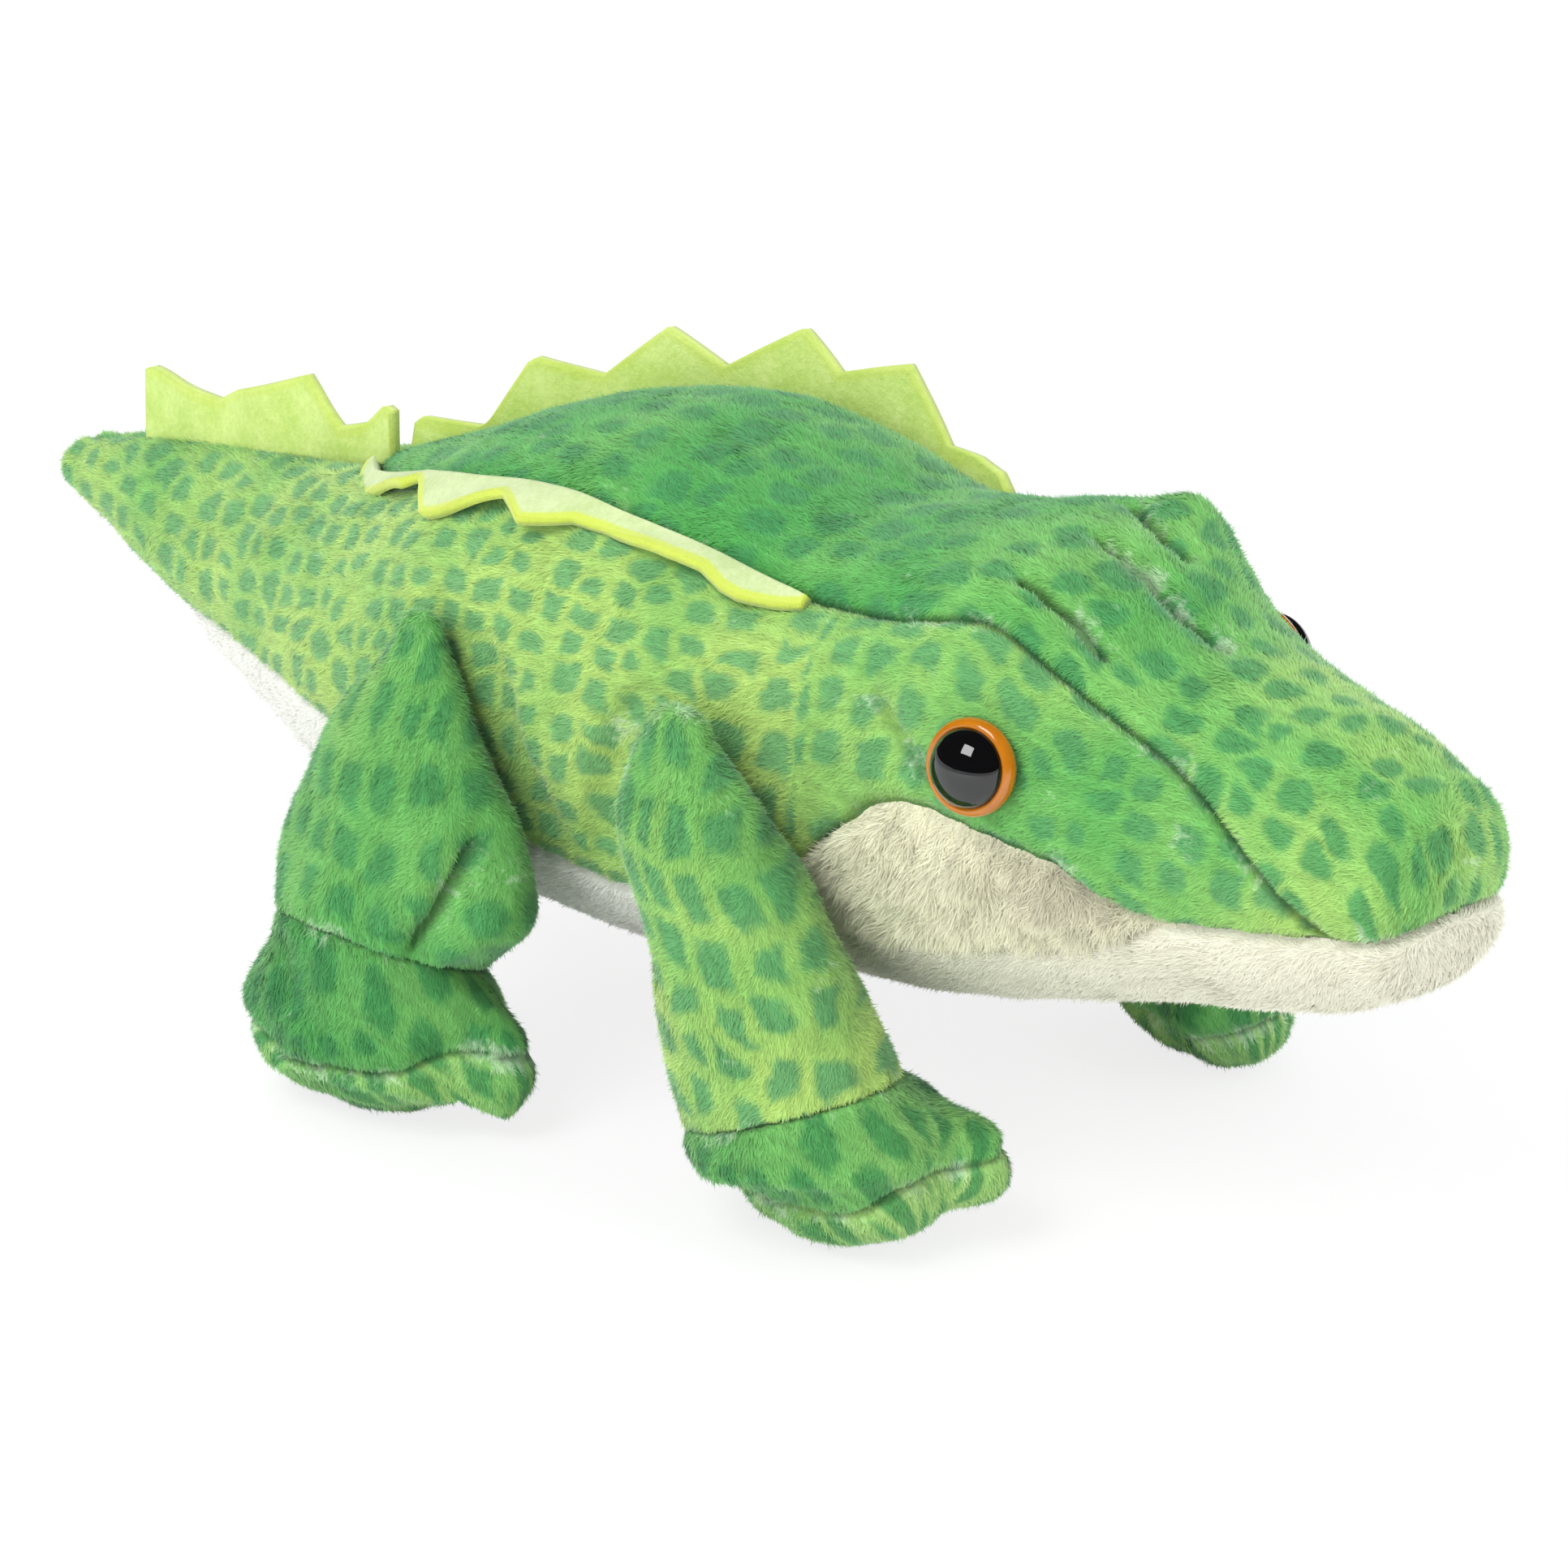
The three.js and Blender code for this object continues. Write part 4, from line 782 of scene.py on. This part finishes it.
# The felt's thickness, its tallest tooth and how much of the strip is sewn in
felt_thick, tooth_height, felt_sink = 2.0 * MM, 11.8 * MM, 2.0 * MM
for name, node, teeth, span, leans, seam_side, seed in (
    ("crest_of_tail", "crest_tail", tail_teeth, (0.4245, 0.222), (0.0, 0.0), 0, 51),
    ("crest_on_left", "crest_left", back_teeth, (0.222, -0.138), (0.16, 0.16), 1, 52),
    ("crest_on_right", "crest_right", flopped_teeth, (0.222, -0.160), (-2.00, -1.80), -1, 53),
):
    flopped = seam_side < 0
    bm = bmesh.new()
    bmesh.ops.create_grid(bm, x_segments=230, y_segments=14, size=0.5, calc_uvs=True)
    rim_mark = bm.verts.layers.float.new("rim")
    flat = np.array([v.co[:2] for v in bm.verts]) + 0.5
    y = (span[0] + (span[1] - span[0]) * flat[:, 0]) * body_size[1]
    place = place_of(y)
    foot = skin(place, seam_side * (body_rings(place)["seams"][:, 1] + flopped * sag(y)))
    tall = np.interp(flat[:, 0], teeth[:, 0], teeth[:, 1]) * tooth_height
    lean = leans[0] + (leans[1] - leans[0]) * flat[:, 0]
    lean = lean - 0.14 * flopped * np.sin(flat[:, 0] * 23) * flat[:, 1]
    up = np.stack([np.sin(lean), 0 * lean, np.cos(lean)], 1)
    flat_way = np.stack([np.cos(lean), 0 * lean, -np.sin(lean)], 1)
    root = 0.2 * MM if flopped else felt_sink
    foot[:, 2] -= flopped * 1.2 * MM
    rise = -root + (tall + root) * flat[:, 1]
    sway = (0.5 + 0.6 * flopped) * MM * np.sin(flat[:, 0] * 21 + seed) * flat[:, 1]
    points = foot + up * rise[:, None] + flat_way * sway[:, None]
    from_end = 0.6 * MM + 120 * MM * np.minimum(flat[:, 0], 1 - flat[:, 0])
    for v, distance in zip(bm.verts, np.minimum(tall * (1 - flat[:, 1]), from_end) / MM):
        v[rim_mark] = distance
    move_verts(bm, points)
    bmesh.ops.recalc_face_normals(bm, faces=bm.faces[:])
    bmesh.ops.solidify(bm, geom=bm.faces[:], thickness=felt_thick * (0.8 if flopped else 1.0))
    bmesh.ops.recalc_face_normals(bm, faces=bm.faces[:])
    crest = piece_from(bm, name, felt_nap if flopped else felt_green)
    if name == "crest_of_tail":
        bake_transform(crest)
    else:
        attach(crest, "trunk")
    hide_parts(node)

# Eyes: a black moulded dome in an amber ring, held by a shank and a lock washer behind the cloth.
# Acrylic moulded in a polished tool: the dome mirrors the lamp as one small window
black_gloss, tree = blank("black_moulded_plastic")
surface = add(tree, "BsdfPrincipled", {"Base Color": linear("#070708"), "Roughness": 0.04, "IOR": 1.49,
                                       "Coat Weight": 0.5, "Coat Roughness": 0.02})
add(tree, "OutputMaterial", surface)
# The ring is tinted acrylic: glossy and a little deep, with flow marks of 4 mm from the mould
amber_gloss, tree = blank("amber_moulded_plastic")
object_place = add(tree, "TexCoord").outputs["Object"]
swirl = add(tree, "TexNoise", {"Vector": object_place, "Scale": 260.0, "Detail": 2.0})
tint = add(tree, "Mix", {"Factor": swirl, "A": linear("#9a5305"), "B": linear("#c47a0a")}, data_type="RGBA")
surface = add(tree, "BsdfPrincipled", {"Base Color": tint, "Roughness": 0.16, "IOR": 1.49,
                                       "Coat Weight": 0.6, "Coat Roughness": 0.05,
                                       "Subsurface Weight": 0.1, "Subsurface Scale": 0.001})
add(tree, "OutputMaterial", surface)
# Moulded nylon: milky and half matt, with a 2 mm cloudiness
washer_plain, tree = blank("plain_nylon")
object_place = add(tree, "TexCoord").outputs["Object"]
grain = add(tree, "TexNoise", {"Vector": object_place, "Scale": 500.0})
tint = add(tree, "Mix", {"Factor": grain, "A": linear("#dcdcd6"), "B": linear("#ecece8")}, data_type="RGBA")
add(tree, "OutputMaterial", add(tree, "BsdfPrincipled", {"Base Color": tint, "Roughness": 0.5}))
# Each part's profile: radius and height in millimetres
ring_profile = [(5.2, 0.4), (5.3, 1.5), (5.6, 1.95), (6.1, 1.95), (6.55, 1.5), (6.8, 0.7), (6.75, 0.0),
                (5.8, -0.1), (5.2, 0.0)]
rises = np.linspace(0.02, math.pi / 2 - 0.03, 16)
dome_profile = [(5.6, 1.0), *((5.6 * math.cos(t), 1.3 + 4.0 * math.sin(t)) for t in rises), (0.0, 5.3)]
eye_y, eye_turn = -86.0 * MM, 0.415
for side, hand in ((-1, "right"), (1, "left")):
    place, turn = place_of(np.array([eye_y])), np.array([side * eye_turn])
    spot = skin(place, turn)[0]
    along = (skin(place + 0.02, turn) - skin(place - 0.02, turn))[0]
    round_way = (skin(place, turn + 0.01) - skin(place, turn - 0.01))[0]
    facing = Vector(np.cross(along, round_way)).normalized()
    # The brow hangs over the left eye, which is drawn in deeper
    seat_height = (0.3 if side < 0 else -1.5) * MM
    upright = facing.to_track_quat("Z", "Y").to_matrix().to_4x4()
    stand = Matrix.Translation(Vector(spot) + facing * seat_height) @ upright
    for name, node, profile, material, slot in (
        ("ring_of_eye", "eye_rim", ring_profile, amber_gloss, "amber_plastic"),
        ("ball_of_eye", "eye_dome", dome_profile, black_gloss, "black_plastic"),
    ):
        bm = bmesh.new()
        verts = [bm.verts.new((r * MM, 0, h * MM)) for r, h in profile]
        edges = [bm.edges.new(pair) for pair in zip(verts, verts[1:])]
        if name == "ring_of_eye":
            edges.append(bm.edges.new((verts[-1], verts[0])))
        bmesh.ops.spin(bm, geom=verts + edges, cent=(0, 0, 0), axis=(0, 0, 1), angle=2 * math.pi, steps=64,
                       use_merge=True)
        bmesh.ops.remove_doubles(bm, verts=bm.verts[:], dist=0.00001)
        bmesh.ops.holes_fill(bm, edges=bm.edges[:], sides=0)
        bmesh.ops.recalc_face_normals(bm, faces=bm.faces[:])
        bmesh.ops.transform(bm, matrix=stand, verts=bm.verts[:])
        made = piece_from(bm, f"{name}_{hand}", material)
        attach(made, "trunk")
        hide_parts(f"{node}_{hand}")
    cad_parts[f"eye_washer_{hand}"].material_slots[0].material = washer_plain

# Paws: an upper and a sole of green plush sewn edge to edge and turned, which leaves a drawn-in
# seam along the edge of the foot, and sewn on round the ankle. A small toe stands out in front.
paw_print = plush_print("paw_printed_plush", ("#a8d47c", "#7cc068", "#4fa253"), ("#55a35d", "#398b4c"),
                        size=(6.2, 5.8), shape=2.3)
# Foot: centre and half sizes of the ball, then of the toe; turn, pitch and roll; how the heel
# narrows and lifts; top and foot of the ankle's axis and its half sizes
feet = {
    "front_right": ((-37.9, -66.2, 11.3, 14.4, 20.6, 11.8), (-29.9, -84.0, 13.6, 5.8, 7.6, 7.2),
                    (3.2, -4.0, -4.3), (0.19, 0.22), (-45, -60, 32), (-43.5, -65, 13), (14.6, 18.4)),
    "front_left": ((45.0, -57.7, 12.8, 11.5, 25.0, 13.0), (37.0, -72.9, 13.2, 10.0, 6.0, 8.2),
                   (-12.4, 9.0, -10.0), (0.0, 0.8), (44, -52, 40), (44, -56, 10), (13, 16)),
    "rear_right": ((-55.7, 12.2, 11.8, 12.8, 21.4, 12.3), (-51.9, -11.4, 12.0, 5.4, 6.6, 9.0),
                   (13.5, -1.3, 5.8), (0.03, 0.28), (-55, 11, 40), (-56, 10, 8), (14.2, 17.8)),
    "rear_left": ((55.7, 12.2, 11.8, 12.8, 21.4, 12.3), (51.9, -11.4, 12.0, 5.4, 6.6, 9.0),
                  (-13.5, -1.3, -5.8), (0.03, 0.28), (55, 11, 40), (56, 10, 8), (14.2, 17.8)),
}
# The plane of each ankle's seam: its height, and its slopes outward and backward from a point. Each
# cloth ends a gap away from it, and its distance from the seam counts from a little over nought there, so the
# painted seam shade is fainter, as the pile hides the seam
ankles = {"front_right": (16.4, 0.0, -0.40, 42, -54.5), "front_left": (21.0, 0.0, -0.15, 42, -50),
          "rear_right": (30.6, 0.42, 0.0, 66, 0), "rear_left": (30.6, 0.42, 0.0, 66, 0)}
ankle_gap, ankle_start = 0.15, 0.55


def over_ankle(points, ankle):
    """Height above the ankle's seam, all in millimetres."""
    height, outward, backward, x, y = ankle
    return points[:, 2] - height - outward * (np.abs(points[:, 0]) - x) - backward * (points[:, 1] - y)


def soft_least(a, b, reach):
    """The smaller of two distances, rounded where they meet."""
    t = np.clip(0.5 + 0.5 * (b - a) / reach, 0, 1)
    return b * (1 - t) + a * t - reach * t * (1 - t)


def foot_depth(points, foot):
    """About how far points in millimetres lie outside a foot, whose ball, toe and ankle run together,
    and the points in the foot's own turned frame."""
    ball, toe, (yaw, pitch, roll), (narrow, lift), top, low, girths = foot
    turned = Matrix.Rotation(math.radians(yaw), 3, "Z") @ Matrix.Rotation(math.radians(pitch), 3, "X")
    turned = np.array(turned @ Matrix.Rotation(math.radians(roll), 3, "Y"))
    q = (points - np.array(ball[:3])) @ turned / np.array(ball[3:])
    q[:, 0] /= 1 - narrow * q[:, 1].clip(-1.5, 1.5)
    q[:, 2] *= np.where(q[:, 2] < 0, 1 + lift * np.maximum(q[:, 1], 0), 1)
    shape = ((np.abs(q) ** 2.3).sum(1) ** (1 / 2.3) - 1) * min(ball[3:])
    t = (points - np.array(toe[:3])) @ turned / np.array(toe[3:])
    shape = soft_least(shape, (np.linalg.norm(t, axis=1) - 1) * min(toe[3:]), 3.0)
    axis = np.array(low, float) - np.array(top)
    along = (points - np.array(top)) @ axis / (axis @ axis)
    off = points - np.array(top) - along[:, None] * axis
    tube = (np.hypot(off[:, 0] / girths[0], np.hypot(off[:, 1], off[:, 2]) / girths[1]) - 1) * min(girths)
    shape = soft_least(shape, np.maximum(tube, (along - 1) * np.linalg.norm(axis)), 7.0)
    return shape, (points - np.array(ball[:3])) @ turned


def paw_inside(reach):
    """Whether points that far from the core lie inside the paw, which is cut off at the ankle."""
    points = core + ways * reach[:, None]
    shape = np.maximum(foot_depth(points, foot)[0] + pile_depth / MM, over_ankle(points, ankle) + ankle_gap)
    return soft_least(-shape, points[:, 2] - 0.4, 1.5) > 0


for limb, foot in feet.items():
    side = -1 if limb.endswith("right") else 1
    ankle = ankles[limb]
    bm = bmesh.new()
    bmesh.ops.create_uvsphere(bm, u_segments=112, v_segments=80, radius=1.0, calc_uvs=True)
    ways = np.array([v.co[:] for v in bm.verts])
    core = np.array([foot[0][0], foot[0][1], 12.0])
    points = core + ways * bisected(np.zeros(len(ways)), np.full(len(ways), 60.0), 24, paw_inside)[:, None]
    local = foot_depth(points, foot)[1]
    # The edge seam runs low along the side and rises to the toe and a little to the heel
    along = -local[:, 1] / foot[0][4]
    seam_height = -3.4 + 4.6 * smooth(along, 0.25, 1.0) + 3.0 * smooth(-along, 0.3, 1.0)
    seam_height = seam_height + 0.7 * np.sin(along * 7)
    from_edge = np.abs(local[:, 2] - seam_height)
    to_ankle = np.maximum(-over_ankle(points, ankle) - ankle_gap, 0)
    draw = (1.4 * bell(from_edge, 0.8) + 0.8 * bell(from_edge, 3.2)) * (1 - 0.45 * smooth(along, 0.75, 1.1))
    draw += 0.2 * np.exp(-from_edge / 3.0) * np.sin(along * 22 + 2 * soft_noise(local, 20.0, 72))
    draw += 0.35 * bell(to_ankle, 0.8) + 0.3 * bell(to_ankle, 3.0)
    lumps = (0.5 * soft_noise(local, 15.0, 70) + 0.25 * soft_noise(local, 6.0, 71)) * smooth(to_ankle, 0, 4)
    flat_out = points - core
    flat_out[:, 2] *= smooth(to_ankle, 0, 3)
    points = (points + unit(flat_out) * (lumps - draw)[:, None]) * MM
    points[:, 2] = np.maximum(points[:, 2], 0.3 * MM)
    move_verts(bm, points)
    bmesh.ops.recalc_face_normals(bm, faces=bm.faces[:])
    upper = local[:, 2] > seam_height
    base_tone = 0.72 if limb.startswith("front") else 0.90
    tone = base_tone + 0.16 * bell(local[:, 2] + 3, 7) * upper - 0.42 * ~upper
    tone = tone - 0.24 * smooth(along, 0.45, 1.0)
    around_foot = np.arctan2(local[:, 0], local[:, 2] + 12) * 24
    flecks = 0.30 * bell(from_edge - 1.0, 1.6) * np.clip(0.5 + soft_noise(local, 9.0, 73), 0, 1)
    # The material paints shade at the very edge of both the foot's edge seam and the ankle seam
    seam = np.minimum(from_edge, to_ankle + ankle_start)
    cloth = np.stack([along * foot[0][4] + 3 * side, around_foot + 50, seam, tone.clip(0, 1), flecks], 1)
    paw = plush(f"paw_of_{limb}", bm, cloth, paw_print, (0.0, -0.25, -1.0), seed=80 + side,
                thickness=None, sort=True)
    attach(paw, f"leg_{limb}")
    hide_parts(f"paw_top_{limb}", f"paw_sole_{limb}", f"paw_stuffing_{limb}")

# Legs: a stuffed tube of printed plush sewn to each flank by its upper edge, so that it swings
# fore and aft on the seam. The front ones reach forward. The rear ones have a broad thigh, with a
# stitched fold at the knee. Each ends in a seam round the ankle.
leg_print = plush_print("leg_printed_plush", lime_dye, ("#69ab6e", "#459956"), size=(8.2, 6.2), shape=3.6,
                        strength=0.92, gap=0.17, radii=(0.30, 0.50))
thigh_print = plush_print("thigh_printed_plush", ("#b2d878", "#7dc168", "#58ae58"), ("#5ba564", "#439755"),
                          size=(8.6, 6.4), shape=2.5, strength=0.85, gap=0.16)
# Level sections from the top down: centre outward, along and up, then the half sizes across and along
front_forward = (
    (43.5, -40.0, 68.5, 4.5, 6.0), (44.3, -42.5, 64.0, 6.5, 9.5), (45.0, -45.5, 58.5, 9.5, 13.0),
    (45.0, -49.5, 52.0, 11.5, 15.5), (45.0, -54.3, 44.0, 12.0, 16.0), (45.0, -58.0, 35.0, 13.0, 17.0),
    (44.5, -60.7, 26.0, 13.5, 17.5), (44.0, -64.0, 10.0, 13.5, 17.5),
)
front_straight = (
    (43.5, -37.5, 67.5, 4.5, 5.5), (44.0, -40.0, 63.0, 7.0, 9.5), (44.5, -43.0, 57.5, 8.5, 12.5),
    (45.5, -46.5, 49.2, 11.0, 15.0), (45.3, -50.0, 38.6, 13.0, 16.5), (44.4, -53.0, 23.0, 14.0, 17.0),
    (43.5, -55.0, 9.0, 13.5, 16.0),
)
rear = (
    (43.2, 12.9, 69.0, 4.0, 5.0), (44.2, 13.0, 64.0, 6.0, 8.0), (46.5, 12.4, 59.0, 8.0, 12.0),
    (49.5, 10.0, 52.0, 11.0, 16.5), (52.0, 7.6, 45.0, 12.5, 20.7), (53.5, 6.2, 38.0, 14.0, 24.0),
    (54.5, 5.6, 33.0, 14.2, 24.5), (55.0, 7.5, 27.0, 14.0, 22.5), (55.5, 10.0, 15.0, 14.0, 19.0),
)
knee_fold = ((-53.6, -11.5, 47.5), (-55.2, -11.5, 45.9), (-58.1, -12.2, 43.3), (-60.7, -12.1, 40.7),
             (-63.3, -11.8, 37.0), (-65.5, -9.8, 32.7))
leg_patches = {"front_right": ((-46, -36, 69, 4.5, 0.42), (-48, -34, 63, 4, 0.4), (-43, -42, 72, 3, 0.35)),
               "rear_right": ((-52, -13, 43, 4, 0.3), (-56, -12, 34, 3, 0.25), (-45, 12, 69, 3, 0.3))}


def leg_surface(place):
    """Points of the leg in hand, in millimetres. Places below 0 close its top, and its inner side
    rests on the flank and steps in below the seam."""
    rows = blended(np.array(sections), place)
    close = np.where(place < 0, np.sqrt(np.clip(1 - place ** 2, 0, 1)), 1.0)
    points = np.stack([side * rows[:, 0], rows[:, 1], rows[:, 2] + np.clip(-place, 0, 1) * 4], 1)
    points[:, 0] += (rows[:, 3] - pile_depth / MM) * close * np.cos(angle)
    points[:, 1] += (rows[:, 4] - pile_depth / MM) * close * np.sin(angle)
    hinge_y, hinge_z, plane = (value / MM for value in seat[:3])
    away = np.hypot(points[:, 1] - hinge_y, points[:, 2] - hinge_z)
    inner_side = plane - step * np.clip((away - 20) / 20, 0, 1) + pile_depth / MM
    points[:, 0] = side * np.maximum(side * points[:, 0], inner_side)
    return points


for limb, sections, seat, step in (
    ("front_right", front_forward, seats[0], 2.6), ("front_left", front_straight, seats[0], 2.6),
    ("rear_right", rear, seats[1], 2.0), ("rear_left", rear, seats[1], 2.0),
):
    side = -1 if limb.endswith("right") else 1
    front = limb.startswith("front")
    ankle = ankles[limb]
    bm = bmesh.new()
    bmesh.ops.create_grid(bm, x_segments=96, y_segments=90, size=0.5, calc_uvs=True)
    flat = np.array([v.co[:2] for v in bm.verts]) + 0.5
    angle = flat[:, 0] * 2 * math.pi + (math.pi if side > 0 else 0)
    low = bisected(np.full(len(flat), 2.0), np.full(len(flat), len(sections) - 1.0), 22,
                   lambda place: over_ankle(leg_surface(place), ankle) > ankle_gap)
    place = -0.9999 + (low + 0.9999) * (1 - (1 - flat[:, 1]) ** 1.25)
    points = leg_surface(place)
    # At its end the leg takes the outline of the foot that it is sewn to
    end = leg_surface(low)
    centre = end.mean(0)
    reach = end - centre
    inner = bisected(np.zeros(len(end)), np.full(len(end), 2.0), 20, lambda share: foot_depth(
        centre + reach * share[:, None], feet[limb])[0] < -pile_depth / MM)
    to_ankle = np.maximum(over_ankle(points, ankle) - ankle_gap, 0)
    fold = from_lines(points * MM, [] if front else [np.array(knee_fold) * np.array([-side, 1, 1])]) / MM
    points += reach * (inner - 1)[:, None] * np.exp(-((to_ankle / 7.0) ** 1.5))[:, None]
    outward = points - centre
    outward[:, 2] = 0
    outward -= np.array([0, 1, 0]) * (blended(np.array(sections), place)[:, 1] - centre[1])[:, None]
    tuck = 0.35 * bell(to_ankle, 0.8) + 0.3 * bell(to_ankle, 3.0)
    tuck = np.maximum(tuck, 2.4 * bell(fold, 1.3) + 1.2 * bell(fold, 4.0))
    swell = 1.4 * bell(fold - 6.5, 3.5)
    lumps = (0.45 * soft_noise(points, 26, 60) + 0.25 * soft_noise(points, 9, 61)) * smooth(to_ankle, 0, 5)
    ripple = np.sin(angle * 14 + 2 * soft_noise(points, 20, 62)) * 0.2 * np.exp(-to_ankle / 3.5)
    moved = points + unit(outward) * (lumps + swell - tuck - ripple)[:, None]
    moved[:, 0] = side * np.maximum(side * moved[:, 0], seat[2] / MM - step + 0.6)
    move_verts(bm, moved * MM)
    # The two edges of the tube are joined and its ends closed
    mark = bm.verts.layers.int.new("mark")
    for order, v in enumerate(bm.verts):
        v[mark] = order
    bmesh.ops.remove_doubles(bm, verts=bm.verts[:], dist=0.00002)
    bmesh.ops.holes_fill(bm, edges=bm.edges[:], sides=0)
    kept = [v[mark] for v in bm.verts]
    bm.normal_update()
    middle = Vector(moved.mean(0) * MM)
    if sum((f.calc_center_median() - middle).dot(f.normal) for f in bm.faces) < 0:
        bmesh.ops.reverse_faces(bm, faces=bm.faces[:])
    y, z = points[:, 1], points[:, 2]
    if front:
        tone = 0.06 + 0.40 * smooth(z, 34, 60)
    else:
        tone = 0.66 + 0.14 * bell(z - 32, 8) - 0.15 * bell(y - 20, 10)
    # The ankle seam and the knee fold both take the painted shade of a seam's edge
    seam = np.minimum(to_ankle + ankle_start, np.maximum(fold - 0.7, 0))
    out_from = side * points[:, 0] - seat[2] / MM + 14
    girth = np.arctan2(y - blended(np.array(sections), place)[:, 1], out_from) * (30 if front else 34)
    parted = bare_patches(points * MM, leg_patches.get(limb, ()))
    cloth = np.stack([75 - z * 1.08, girth + 7 * seat[0] / MM, seam, tone, parted], 1)[kept]
    leg = plush(f"leg_of_{limb}", bm, cloth, leg_print if front else thigh_print, (0.0, 0.15, -1.0),
                seed=60 + side + 5 * front, thickness=None)
    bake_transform(leg)
    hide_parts(f"leg_cloth_{limb}", f"leg_stuffing_{limb}")
